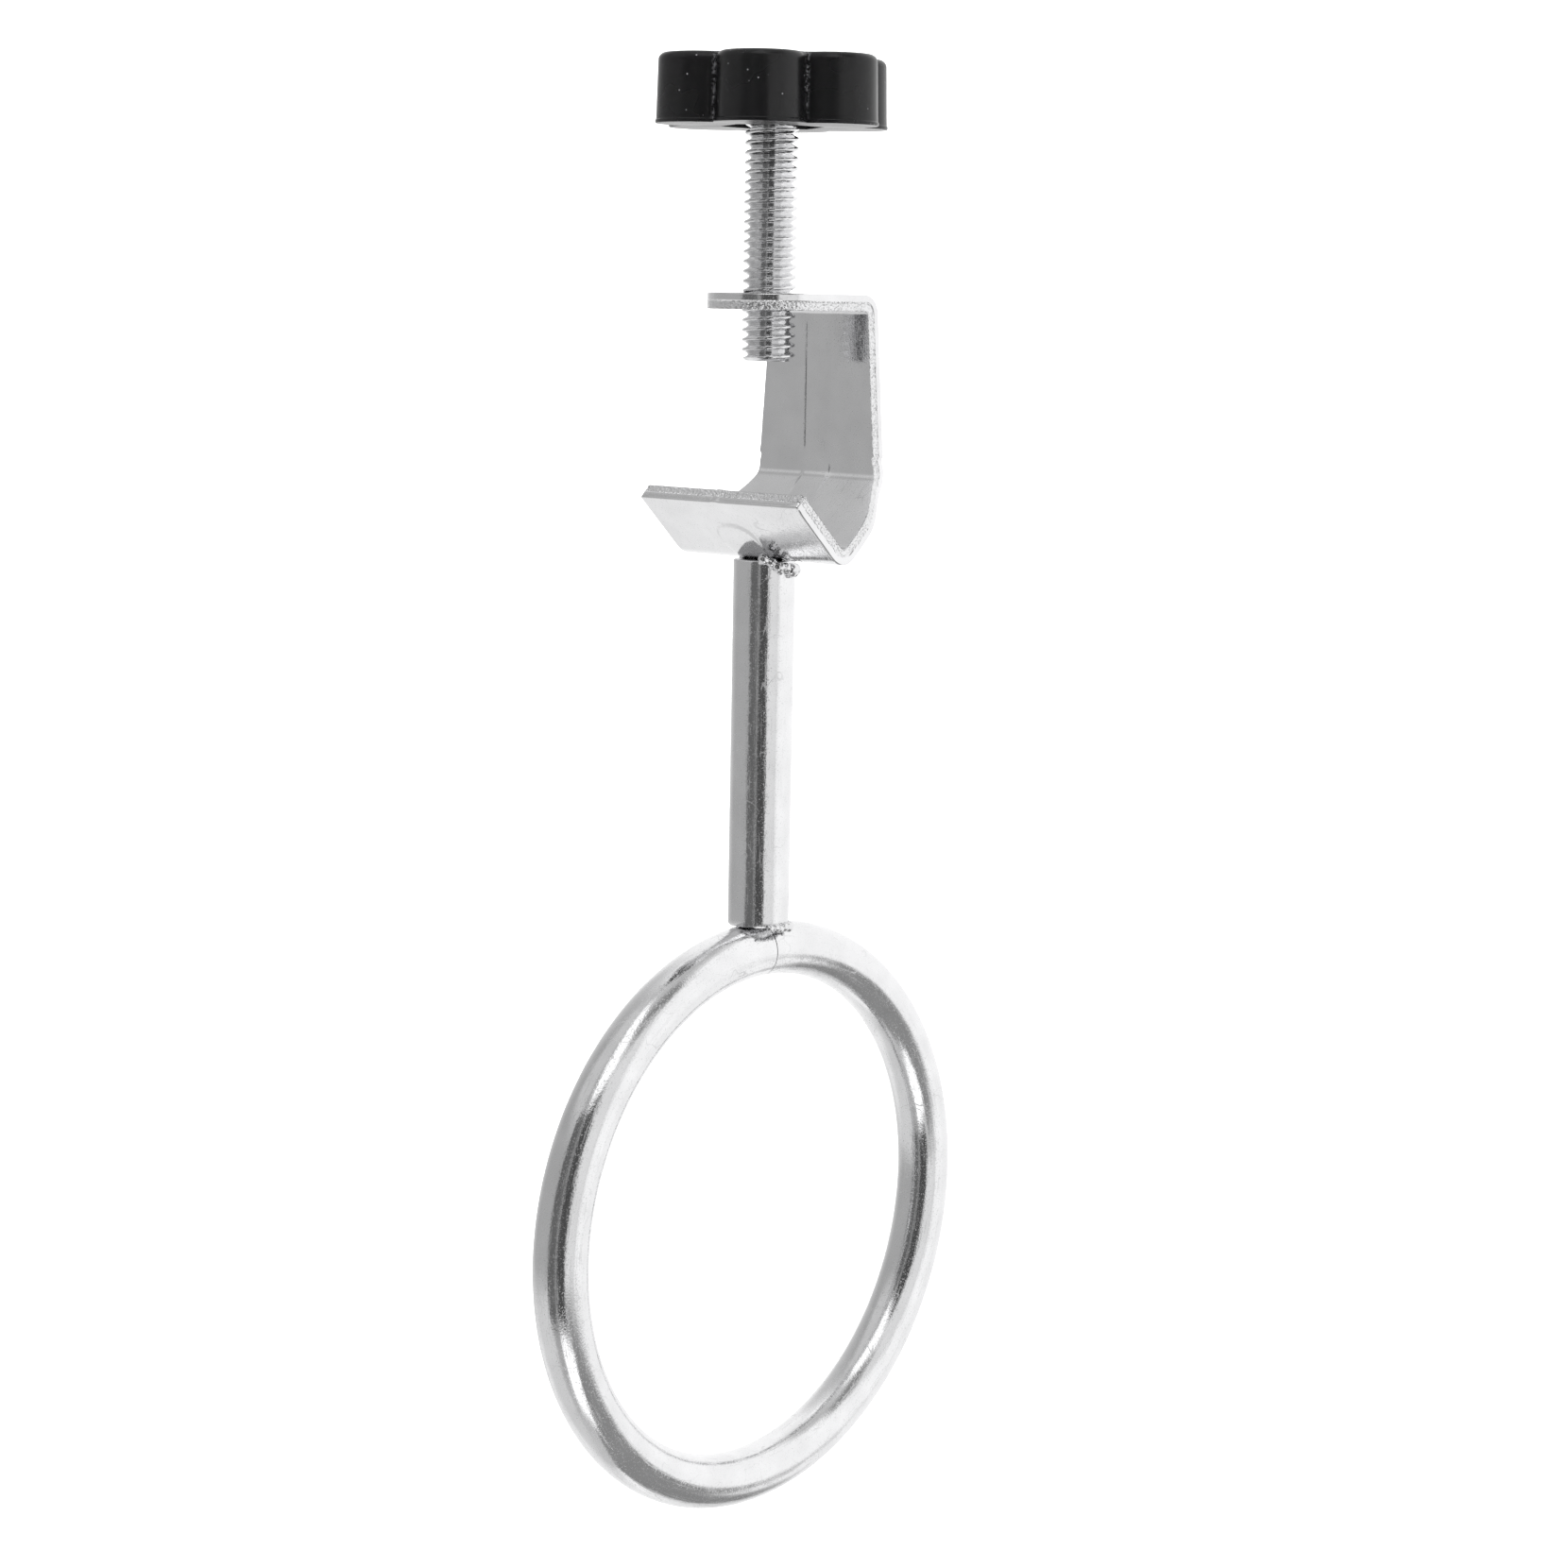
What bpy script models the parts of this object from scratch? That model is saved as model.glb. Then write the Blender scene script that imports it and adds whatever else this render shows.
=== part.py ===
"""Laboratory support ring with an integral hook clamp.

A round-rod ring hangs from a straight rod that is welded under a bent sheet-steel hook.
A star knob on a clamp bolt, threaded through the hook's lug, presses a stand rod into
the hook's V. The origin is the axis of a half-inch stand rod lying in the V, +X runs
along that rod, -Y is the open side of the hook and +Z points to the knob.
"""

import math
from collections import namedtuple

import bmesh
import bpy
from mathutils import Matrix, Vector

MM = 0.001
GAP = 0.3 * MM                      # clearance kept between neighbouring solids

# Hook: one strip of sheet steel, drawn by its inside face in the YZ plane
SHEET = 2.4 * MM
SEAT_ROD_RADIUS = 6.35 * MM         # the half-inch stand rod that the V is drawn around
V_SLOPE = math.radians(43.0)        # each leg of the V above the horizontal
BACK_Y = 10.6 * MM                  # inside face of the back plate
FRONT_LEG = 12.4 * MM               # from the V's corner to the front lip
LUG_ABOVE_V = 34.4 * MM             # from the V's corner to the lug's underside
LUG_BEND_RADIUS = 0.6 * MM
BACK_BEND_RADIUS = 2.2 * MM
V_BEND_RADIUS = 1.2 * MM
LUG_END_RADIUS = 9.05 * MM
HALF_WIDTH_TOP = 9.6 * MM           # back plate at the lug
HALF_WIDTH_LOW = 11.2 * MM          # back plate where the flare starts
HALF_WIDTH_V = 15.4 * MM            # hook at the V
HALF_WIDTH_LIP = 15.0 * MM          # hook at the front lip
FLARE_START = 2.3 * MM              # above the lower bend
FLARE_END = 5.2 * MM                # above the V's corner, along the rear leg
RIB_HALF_WIDTH = 2.9 * MM
RIB_SIDE = 0.45 * MM                # width of the rib's sloping side
RIB_DEPTH = 0.45 * MM
RIB_RISE = 1.8 * MM                 # length over which the rib deepens below the lug
RIB_END = 7.7 * MM                  # where the rib stops, up the front leg

# Rod and ring
HANDLE_RADIUS = 4.6 * MM
HANDLE_LENGTH = 53.5 * MM
RING_MEAN_RADIUS = 41.0 * MM
RING_ROD_RADIUS = 4.05 * MM
RING_SEAM = 0.2 * MM                # open butt joint between the ring's two ends

# Weld beads
BEAD_RADIUS = 1.0 * MM
BEAD_SPAN = math.radians(84.0)

# Clamp bolt, 5/16-18 UNC x 1-3/8 in
INCH = 25.4 * MM
PITCH = INCH / 18
BOLT_MAJOR_RADIUS = 3.92 * MM
BOLT_THREAD_DEPTH = 0.61343 * PITCH
BOLT_LENGTH = 1.375 * INCH          # under the head
BOLT_TIP_Z = 18.3 * MM              # the bolt's end above the stand rod's axis
HEAD_ACROSS_FLATS = 12.7 * MM
HEAD_HEIGHT = 5.3 * MM
HEAD_RECESS = 1.3 * MM              # the head's underside inside the knob
TIP_CHAMFER = 0.5 * MM
THREAD_STEPS = 14                   # facets in one turn of the thread
CORE_RADIUS = 1.8 * MM
LUG_HOLE_RADIUS = 4.1 * MM

# Knob
LOBES = 6
LOBE_RADIUS = 6.75 * MM
LOBE_CENTRE = 10.85 * MM
LOBE_PHASE = math.radians(-57.1)    # direction of the first lobe from +X
KNOB_HEIGHT = 10.0 * MM
KNOB_EDGE = 1.1 * MM                # rounding of the knob's upper edge
KNOB_DRAFT = 0.985                  # top outline over bottom outline

# Heights that follow from the driving dimensions
V_CORNER_Z = -SEAT_ROD_RADIUS / math.cos(V_SLOPE)
LUG_Z = V_CORNER_Z + LUG_ABOVE_V
BACK_BEND_Z = V_CORNER_Z + BACK_Y * math.tan(V_SLOPE)
V_OUTER_Z = V_CORNER_Z + V_BEND_RADIUS * (1 / math.cos(V_SLOPE) - 1) - SHEET
HANDLE_TOP_Z = V_OUTER_Z - RIB_DEPTH - GAP
HANDLE_LOW_Z = HANDLE_TOP_Z - HANDLE_LENGTH
RING_Z = HANDLE_LOW_Z - GAP - RING_ROD_RADIUS - RING_MEAN_RADIUS
HEAD_Z = BOLT_TIP_Z + BOLT_LENGTH
KNOB_Z = HEAD_Z - HEAD_RECESS


def new_material(name, colour, roughness, metallic):
    """One Principled material."""
    material = bpy.data.materials.new(name)
    material.use_nodes = True
    shader = material.node_tree.nodes["Principled BSDF"]
    shader.inputs["Base Color"].default_value = (*colour, 1.0)
    shader.inputs["Roughness"].default_value = roughness
    shader.inputs["Metallic"].default_value = metallic
    return material


def new_object(name, data, collection, material=None):
    """Put mesh or curve data in a named object of a collection."""
    obj = bpy.data.objects.new(name, data)
    collection.objects.link(obj)
    if material:
        data.materials.append(material)
    return obj


def mesh_from(bm, name):
    """Turn a bmesh into mesh data."""
    mesh = bpy.data.meshes.new(name)
    bm.normal_update()
    bm.to_mesh(mesh)
    bm.free()
    return mesh


def shade_round(obj, degrees=35):
    """Smooth shading that keeps the real edges sharp."""
    obj.data.shade_smooth()
    obj.data.set_sharp_from_angle(angle=math.radians(degrees))


def cylinder_mesh(name, radius, low, high, sides, centre=(0, 0)):
    """A capped cylinder or prism along Z between two heights."""
    bm = bmesh.new()
    place = Matrix.Translation((centre[0], centre[1], (low + high) / 2))
    bmesh.ops.create_cone(bm, cap_ends=True, segments=sides, radius1=radius,
                          radius2=radius, depth=high - low, matrix=place)
    return mesh_from(bm, name)


def add_cutter(name, data, collection):
    """A hidden wireframe object that cuts another."""
    cutter = new_object(name, data, collection)
    cutter.hide_render = True
    cutter.display_type = "WIRE"
    return cutter


def add_boolean(obj, operation, other):
    """An exact Boolean modifier."""
    modifier = obj.modifiers.new(f"{operation.lower()} {other.name}", "BOOLEAN")
    modifier.operation = operation
    modifier.solver = "EXACT"
    modifier.object = other


def curve_to_mesh(obj, collection, material):
    """Replace a curve object by a closed mesh with its caps joined."""
    depsgraph = bpy.context.evaluated_depsgraph_get()
    mesh = bpy.data.meshes.new_from_object(obj.evaluated_get(depsgraph))
    bm = bmesh.new()
    bm.from_mesh(mesh)
    bmesh.ops.remove_doubles(bm, verts=bm.verts, dist=0.001 * MM)
    bm.to_mesh(mesh)
    bm.free()
    name = obj.name
    matrix = obj.matrix_world.copy()
    bpy.data.objects.remove(obj)
    mesh.materials.clear()
    solid = new_object(name, mesh, collection, material)
    solid.matrix_world = matrix
    return solid


def tube_curve(name, points, radius, resolution, collection):
    """A round rod along a list of points, with closed ends."""
    curve = bpy.data.curves.new(name, "CURVE")
    curve.dimensions = "3D"
    curve.twist_mode = "MINIMUM"
    curve.bevel_depth = radius
    curve.bevel_resolution = resolution
    curve.use_fill_caps = True
    spline = curve.splines.new("POLY")
    spline.points.add(len(points) - 1)
    for target, point in zip(spline.points, points):
        target.co = (*point, 1.0)
    return new_object(name, curve, collection)


# ---------------------------------------------------------------- hook bracket

def hook_corners():
    """Corners of the strip's inside face in the YZ plane, each with its bend radius."""
    lip = Vector((-math.cos(V_SLOPE), math.sin(V_SLOPE))) * FRONT_LEG
    corner = Vector((0, V_CORNER_Z))
    return [
        (Vector((-LUG_END_RADIUS, LUG_Z)), 0),
        (Vector((BACK_Y, LUG_Z)), LUG_BEND_RADIUS),
        (Vector((BACK_Y, BACK_BEND_Z)), BACK_BEND_RADIUS),
        (corner, V_BEND_RADIUS),
        (corner + lip, 0),
    ]


Straight = namedtuple("Straight", "number start end along inward distance")
BendPoint = namedtuple("BendPoint", "point inward distance")


def hook_path(segments=5):
    """The inside face as straight runs and points around the bends, from lug to lip.

    inward points into the hook's mouth, and distance counts along the strip.
    """
    corners = hook_corners()
    path = []
    start = corners[0][0]
    travelled = 0.0
    for number, (here, radius) in enumerate(corners[1:]):
        into = (here - corners[number][0]).normalized()
        inward = Vector((into.y, -into.x))
        if number == len(corners) - 2:
            path.append(Straight(number, start, here, into, inward, travelled))
            break
        out = (corners[number + 2][0] - here).normalized()
        turn = into.angle(out)
        end = here - into * radius * math.tan(turn / 2)
        path.append(Straight(number, start, end, into, inward, travelled))
        travelled += (end - start).length
        centre = end + inward * radius
        for step in range(1, segments):
            angle = turn * step / segments
            swing = inward * math.cos(angle) - into * math.sin(angle)
            path.append(BendPoint(centre - swing * radius, swing, travelled + radius * angle))
        travelled += radius * turn
        start = here + out * radius * math.tan(turn / 2)
    return path


def run_offsets(run):
    """Where the rows of one straight run lie, from the run's start."""
    length = (run.end - run.start).length
    bend = V_BEND_RADIUS * math.tan(V_SLOPE)
    if run.number == 0:
        steps = 8
        rounded = [LUG_END_RADIUS * (1 - math.cos(math.pi / 2 * (step + 0.5) / steps))
                   for step in range(steps)]
        return rounded + [LUG_END_RADIUS, length]
    if run.number == 1:
        return [0, RIB_RISE * 0.45, RIB_RISE, length - FLARE_START + BACK_BEND_RADIUS * 0.4, length]
    if run.number == 2:
        flare = length + bend - FLARE_END
        return [flare * step / 6 for step in range(7)] + [length]
    round_start = RIB_END - RIB_HALF_WIDTH - bend
    rounded = [round_start + RIB_HALF_WIDTH * math.sin(math.pi / 2 * step / 4)
               for step in range(1, 5)]
    return [0, round_start] + rounded + [length]


def hook_rows():
    """Rows across the strip: (position, outward normal, distance along the strip)."""
    rows = []
    for piece in hook_path():
        if isinstance(piece, BendPoint):
            rows.append((piece.point, -piece.inward, piece.distance))
            continue
        rows += [(piece.start + piece.along * offset, -piece.inward, piece.distance + offset)
                 for offset in run_offsets(piece)]
    return rows


def strip_distances():
    """Distances along the strip of the places where its width and rib change."""
    corners = hook_corners()
    runs = [piece for piece in hook_path() if isinstance(piece, Straight)]

    def along(number, point):
        run = runs[number]
        return run.distance + (point - run.start).dot(run.along)

    return {
        "screw": along(0, Vector((0, LUG_Z))),
        "back": along(1, corners[1][0]),
        "flare_start": along(1, Vector((BACK_Y, BACK_BEND_Z + FLARE_START))),
        "flare_end": along(2, corners[3][0]) - FLARE_END,
        "corner": along(3, corners[3][0]),
        "lip": along(3, corners[4][0]),
    }


def half_width(distance, marks):
    """Half the strip's width at a distance along it."""
    if distance < marks["screw"]:
        reach = marks["screw"] - distance
        return math.sqrt(max(LUG_END_RADIUS ** 2 - reach ** 2, 0.0))

    def between(first, second):
        return (distance - marks[first]) / (marks[second] - marks[first])

    if distance < marks["back"]:
        return LUG_END_RADIUS + (HALF_WIDTH_TOP - LUG_END_RADIUS) * between("screw", "back")
    if distance < marks["flare_start"]:
        return HALF_WIDTH_TOP + (HALF_WIDTH_LOW - HALF_WIDTH_TOP) * between("back", "flare_start")
    if distance < marks["flare_end"]:
        share = between("flare_start", "flare_end")
        return HALF_WIDTH_LOW + (HALF_WIDTH_V - HALF_WIDTH_LOW) * share * share * (3 - 2 * share)
    if distance < marks["corner"]:
        return HALF_WIDTH_V
    return HALF_WIDTH_V + (HALF_WIDTH_LIP - HALF_WIDTH_V) * between("corner", "lip")


def rib_shape(distance, marks):
    """Half width and depth of the pressed rib at a distance along the strip."""
    depth = RIB_DEPTH * min(max((distance - marks["back"]) / RIB_RISE, 0.0), 1.0)
    past = (distance - marks["corner"] - RIB_END) / RIB_HALF_WIDTH + 1
    share = min(max(past, 0.0), 1.0)
    narrowed = RIB_HALF_WIDTH * math.sqrt(1 - 0.9 * share ** 2)
    return narrowed, (depth if share < 0.99 else 0.0)


def build_hook_bracket(parts, cutters, material):
    """The bent strip: a grid on its inside face, thickened outwards, with a screw hole."""
    marks = strip_distances()
    bm = bmesh.new()
    lines = []
    for position, outward, distance in hook_rows():
        wide = half_width(distance, marks)
        rib, depth = rib_shape(distance, marks)
        outer = min(rib, wide * 0.5)
        inner = max(outer - RIB_SIDE, outer * 0.5)
        line = []
        for x, sunk in ((-wide, 0), (-outer, 0), (-inner, depth), (inner, depth), (outer, 0), (wide, 0)):
            point = position + outward * sunk
            line.append(bm.verts.new((x, point.x, point.y)))
        lines.append(line)
    for line, following in zip(lines, lines[1:]):
        for column in range(5):
            bm.faces.new((line[column], line[column + 1], following[column + 1], following[column]))
    hook = new_object("hook_bracket", mesh_from(bm, "hook_bracket"), parts, material)
    wall = hook.modifiers.new("sheet thickness", "SOLIDIFY")
    wall.thickness = SHEET
    wall.offset = 1.0
    wall.use_even_offset = True
    hole = cylinder_mesh("screw_hole", LUG_HOLE_RADIUS, LUG_Z - SHEET, LUG_Z + 2 * SHEET, 32)
    add_boolean(hook, "DIFFERENCE", add_cutter("screw_hole", hole, cutters))
    return hook


# ---------------------------------------------------------------- rod, ring and welds

def build_handle_rod(parts, material):
    """The straight round rod between the hook and the ring."""
    mesh = cylinder_mesh("handle_rod", HANDLE_RADIUS, HANDLE_LOW_Z, HANDLE_TOP_Z, 40)
    rod = new_object("handle_rod", mesh, parts, material)
    edge = rod.modifiers.new("cut ends", "BEVEL")
    edge.width = 0.25 * MM
    edge.segments = 1
    edge.limit_method = "ANGLE"
    edge.angle_limit = math.radians(60)
    shade_round(rod)


def build_support_ring(parts, material):
    """The round rod bent into a ring in the YZ plane, its ends meeting at the top."""
    steps = 72
    seam = RING_SEAM / RING_MEAN_RADIUS / 2
    points = []
    for step in range(steps + 1):
        angle = seam + (math.tau - 2 * seam) * step / steps
        points.append((0, RING_MEAN_RADIUS * math.sin(angle),
                       RING_Z + RING_MEAN_RADIUS * math.cos(angle)))
    curve = tube_curve("support_ring", points, RING_ROD_RADIUS, 4, parts)
    shade_round(curve_to_mesh(curve, parts, material), 60)


def build_weld_bead(name, parts, material, height, heading):
    """A short tack weld around one side of the handle rod."""
    reach = HANDLE_RADIUS + GAP + BEAD_RADIUS
    steps = 8
    points = []
    for step in range(steps + 1):
        angle = heading + BEAD_SPAN * (step / steps - 0.5)
        points.append((reach * math.cos(angle), reach * math.sin(angle), height))
    curve = tube_curve(name, points, BEAD_RADIUS, 2, parts)
    shade_round(curve_to_mesh(curve, parts, material), 60)


# ---------------------------------------------------------------- clamp bolt

def thread_mesh(name, low, high):
    """A closed threaded bar, longer at both ends than the heights given.

    One pitch of the thread's outline is turned by a Screw modifier, its turns are
    joined, and each open end is closed by a fan to the axis.
    """
    crest = BOLT_MAJOR_RADIUS
    root = BOLT_MAJOR_RADIUS - BOLT_THREAD_DEPTH
    flat = PITCH / 8                # width of the thread's crest
    outline = ((root, PITCH), (crest, (PITCH + flat) / 2), (crest, (PITCH - flat) / 2), (root, 0.0))
    bm = bmesh.new()
    points = [bm.verts.new((radius, 0, height)) for radius, height in outline]
    for first, second in zip(points, points[1:]):
        bm.edges.new((first, second))
    profile = new_object(name, mesh_from(bm, name), bpy.context.scene.collection)
    turns = math.ceil((high - low) / PITCH) + 3
    screw = profile.modifiers.new("thread", "SCREW")
    screw.axis = "Z"
    screw.angle = math.tau
    screw.screw_offset = PITCH
    screw.iterations = turns
    screw.steps = THREAD_STEPS
    screw.render_steps = THREAD_STEPS
    screw.use_merge_vertices = False
    depsgraph = bpy.context.evaluated_depsgraph_get()
    mesh = bpy.data.meshes.new_from_object(profile.evaluated_get(depsgraph))
    bpy.data.objects.remove(profile)
    bm = bmesh.new()
    bm.from_mesh(mesh)
    bmesh.ops.remove_doubles(bm, verts=bm.verts, dist=0.001 * MM)
    bmesh.ops.translate(bm, verts=bm.verts, vec=(0, 0, low - 2 * PITCH))
    middle = (low + high) / 2
    for above in (False, True):
        rim = [edge for edge in bm.edges
               if edge.is_boundary and (edge.verts[0].co.z > middle) == above]
        heights = [vert.co.z for edge in rim for vert in edge.verts]
        apex = bm.verts.new((0, 0, sum(heights) / len(heights)))
        for edge in rim:
            bm.faces.new((edge.verts[0], edge.verts[1], apex))
    bmesh.ops.recalc_face_normals(bm, faces=bm.faces)
    bm.to_mesh(mesh)
    bm.free()
    return mesh


def turned_mesh(name, profile, sides):
    """A closed turned solid from (radius, height) points, top to bottom."""
    bm = bmesh.new()
    points = [bm.verts.new((radius, 0, height)) for radius, height in profile]
    for first, second in zip(points, points[1:]):
        bm.edges.new((first, second))
    bmesh.ops.spin(bm, geom=bm.verts[:] + bm.edges[:], cent=(0, 0, 0), axis=(0, 0, 1),
                   angle=math.tau, steps=sides, use_merge=True)
    bmesh.ops.remove_doubles(bm, verts=bm.verts, dist=0.001 * MM)
    bmesh.ops.recalc_face_normals(bm, faces=bm.faces)
    return mesh_from(bm, name)


def build_clamp_bolt(parts, cutters, steel, core_steel):
    """Fully threaded hex bolt, hollow for the core that carries its sliding motion."""
    buried = 0.2 * MM
    blank = add_cutter("bolt_blank", turned_mesh("bolt_blank", (
        (0, HEAD_Z + buried),
        (BOLT_MAJOR_RADIUS + MM, HEAD_Z + buried),
        (BOLT_MAJOR_RADIUS + MM, BOLT_TIP_Z + TIP_CHAMFER + MM),
        (BOLT_MAJOR_RADIUS - TIP_CHAMFER, BOLT_TIP_Z),
        (0, BOLT_TIP_Z),
    ), 32), cutters)
    head_radius = HEAD_ACROSS_FLATS / 2 / math.cos(math.pi / 6)
    head = add_cutter("bolt_head", cylinder_mesh("bolt_head", head_radius, HEAD_Z,
                                                 HEAD_Z + HEAD_HEIGHT, 6), cutters)
    floor = BOLT_TIP_Z + 3 * MM
    bore = add_cutter("bolt_bore", cylinder_mesh("bolt_bore", CORE_RADIUS + GAP, floor,
                                                 HEAD_Z + HEAD_HEIGHT + MM, 16), cutters)
    bolt = new_object("clamp_bolt", thread_mesh("clamp_bolt", BOLT_TIP_Z, HEAD_Z), parts, steel)
    add_boolean(bolt, "INTERSECT", blank)
    add_boolean(bolt, "UNION", head)
    add_boolean(bolt, "DIFFERENCE", bore)
    core = cylinder_mesh("clamp_bolt_core", CORE_RADIUS, floor + GAP,
                         HEAD_Z + HEAD_HEIGHT - GAP, 16)
    shade_round(new_object("clamp_bolt_core", core, parts, core_steel))


# ---------------------------------------------------------------- knob

def lobed_outline(steps=8):
    """Points of the star outline: one arc for each lobe, meeting in sharp valleys."""
    half = math.pi / LOBES
    side = LOBE_CENTRE * math.sin(half)
    valley = LOBE_CENTRE * math.cos(half) + math.sqrt(LOBE_RADIUS ** 2 - side ** 2)
    reach = math.atan2(valley * math.sin(half), valley * math.cos(half) - LOBE_CENTRE)
    points = []
    for lobe in range(LOBES):
        heading = LOBE_PHASE + math.tau * lobe / LOBES
        centre = Vector((math.cos(heading), math.sin(heading))) * LOBE_CENTRE
        for step in range(steps):
            angle = heading - reach + 2 * reach * step / steps
            points.append(centre + Vector((math.cos(angle), math.sin(angle))) * LOBE_RADIUS)
    return points


def build_knob(parts, cutters, material):
    """Moulded star knob: rounded top, flat underside and a socket that holds the bolt's head."""
    bm = bmesh.new()
    outline = [bm.verts.new((point.x, point.y, KNOB_Z)) for point in lobed_outline()]
    bm.faces.new(reversed(outline))
    bottom = bm.faces[:]
    raised = bmesh.ops.extrude_face_region(bm, geom=bottom, use_keep_orig=True)
    top = [item for item in raised["geom"] if isinstance(item, bmesh.types.BMVert)]
    bmesh.ops.translate(bm, verts=top, vec=(0, 0, KNOB_HEIGHT))
    bmesh.ops.scale(bm, verts=top, vec=(KNOB_DRAFT, KNOB_DRAFT, 1))
    bmesh.ops.recalc_face_normals(bm, faces=bm.faces)
    level = KNOB_Z + KNOB_HEIGHT / 2
    rim = [edge for edge in bm.edges
           if all(vert.co.z > level for vert in edge.verts) and len(edge.link_faces) == 2]
    bmesh.ops.bevel(bm, geom=rim, offset=KNOB_EDGE, segments=3, profile=0.5, affect="EDGES")
    knob = new_object("knob", mesh_from(bm, "knob"), parts, material)

    socket_radius = (HEAD_ACROSS_FLATS / 2 + GAP) / math.cos(math.pi / 6)
    socket = cylinder_mesh("head_socket", socket_radius, KNOB_Z - MM,
                           HEAD_Z + HEAD_HEIGHT + GAP, 6)
    add_boolean(knob, "DIFFERENCE", add_cutter("head_socket", socket, cutters))


def main():
    for obj in list(bpy.data.objects):
        bpy.data.objects.remove(obj)
    parts = bpy.data.collections.new("support_ring_with_clamp")
    cutters = bpy.data.collections.new("cutters")
    for collection in (parts, cutters):
        bpy.context.scene.collection.children.link(collection)

    build_hook_bracket(parts, cutters, new_material("zinc plated sheet", (0.62, 0.63, 0.64), 0.28, 1.0))
    build_handle_rod(parts, new_material("zinc plated handle rod", (0.60, 0.61, 0.62), 0.22, 1.0))
    build_support_ring(parts, new_material("zinc plated ring rod", (0.60, 0.61, 0.62), 0.22, 1.0))
    weld = new_material("zinc plated weld", (0.55, 0.56, 0.57), 0.4, 1.0)
    hook_weld_z = V_OUTER_Z - RIB_DEPTH - GAP - BEAD_RADIUS
    build_weld_bead("hook_weld_near", parts, weld, hook_weld_z, math.radians(-25))
    build_weld_bead("hook_weld_far", parts, weld, hook_weld_z, math.radians(155))
    build_weld_bead("ring_weld_near", parts, weld, HANDLE_LOW_Z + 0.1 * MM, 0.0)
    build_weld_bead("ring_weld_far", parts, weld, HANDLE_LOW_Z + 0.1 * MM, math.pi)
    build_clamp_bolt(parts, cutters, new_material("zinc plated bolt", (0.62, 0.63, 0.64), 0.3, 1.0),
                     new_material("bolt core steel", (0.45, 0.45, 0.46), 0.45, 1.0))
    build_knob(parts, cutters, new_material("moulded black plastic", (0.012, 0.012, 0.013), 0.42, 0.0))


main()
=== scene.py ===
"""Looks of a laboratory support ring: bright zinc steel, a black star knob and a light tent.

The packed model is loaded as a fixed frame. Each operator below makes one piece, or one
group of like pieces, in the frame's own place and size, and the last one sets the stage.
"""

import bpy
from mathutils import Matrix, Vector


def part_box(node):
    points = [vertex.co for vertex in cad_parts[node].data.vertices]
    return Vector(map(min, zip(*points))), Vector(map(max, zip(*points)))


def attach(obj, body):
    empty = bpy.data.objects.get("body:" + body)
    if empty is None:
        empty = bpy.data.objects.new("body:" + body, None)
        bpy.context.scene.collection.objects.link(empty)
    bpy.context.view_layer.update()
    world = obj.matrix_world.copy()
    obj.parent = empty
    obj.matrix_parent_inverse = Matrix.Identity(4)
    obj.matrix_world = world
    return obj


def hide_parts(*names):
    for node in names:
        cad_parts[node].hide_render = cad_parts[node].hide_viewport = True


bl_info = {
    "name": "Support ring with hook clamp",
    "version": (1, 0, 0),
    "blender": (4, 5, 0),
    "location": "3D View > Sidebar > Support Ring",
    "description": "Builds the finished look of a clamp-on laboratory support ring",
    "category": "Object",
}

from collections import namedtuple
import math
import random

import bmesh
import bpy
from mathutils import Matrix, Vector, noise

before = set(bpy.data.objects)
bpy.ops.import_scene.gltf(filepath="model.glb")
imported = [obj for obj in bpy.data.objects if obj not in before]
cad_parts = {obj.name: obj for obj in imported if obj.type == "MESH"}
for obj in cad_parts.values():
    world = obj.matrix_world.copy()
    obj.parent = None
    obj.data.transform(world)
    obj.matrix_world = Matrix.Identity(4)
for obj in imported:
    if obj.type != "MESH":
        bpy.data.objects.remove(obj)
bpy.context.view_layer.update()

MM = 0.001
HOOK_LOW, HOOK_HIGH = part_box("hook_bracket")
ROD_LOW, ROD_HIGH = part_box("handle_rod")
RING_LOW, RING_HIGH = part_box("support_ring")
BOLT_LOW, BOLT_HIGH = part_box("clamp_bolt")
CORE_LOW, CORE_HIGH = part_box("clamp_bolt_core")
KNOB_LOW, KNOB_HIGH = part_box("knob")


def shown_to_linear(shown):
    """Scene-linear value of an sRGB display value."""
    return shown / 12.92 if shown <= 0.04045 else ((shown + 0.055) / 1.055) ** 2.4


def linear(code):
    """Scene-linear colour from an sRGB hex code."""
    return tuple(shown_to_linear(int(code[start:start + 2], 16) / 255) for start in (1, 3, 5))


def length(name, description, default):
    """A length property in metres."""
    return bpy.props.FloatProperty(name=name, description=description, default=default,
                                   min=0.0, precision=5, unit="LENGTH")


def angle(name, description, degrees):
    """An angle property, with its default in degrees."""
    return bpy.props.FloatProperty(name=name, description=description,
                                   default=math.radians(degrees), unit="ROTATION")


def colour(name, description, code):
    """A colour property, with its default as an sRGB hex code."""
    return bpy.props.FloatVectorProperty(name=name, description=description, size=3,
                                         default=linear(code), min=0.0, max=1.0, subtype="COLOR")


# ---------------------------------------------------------------- sizes and finishes

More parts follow.
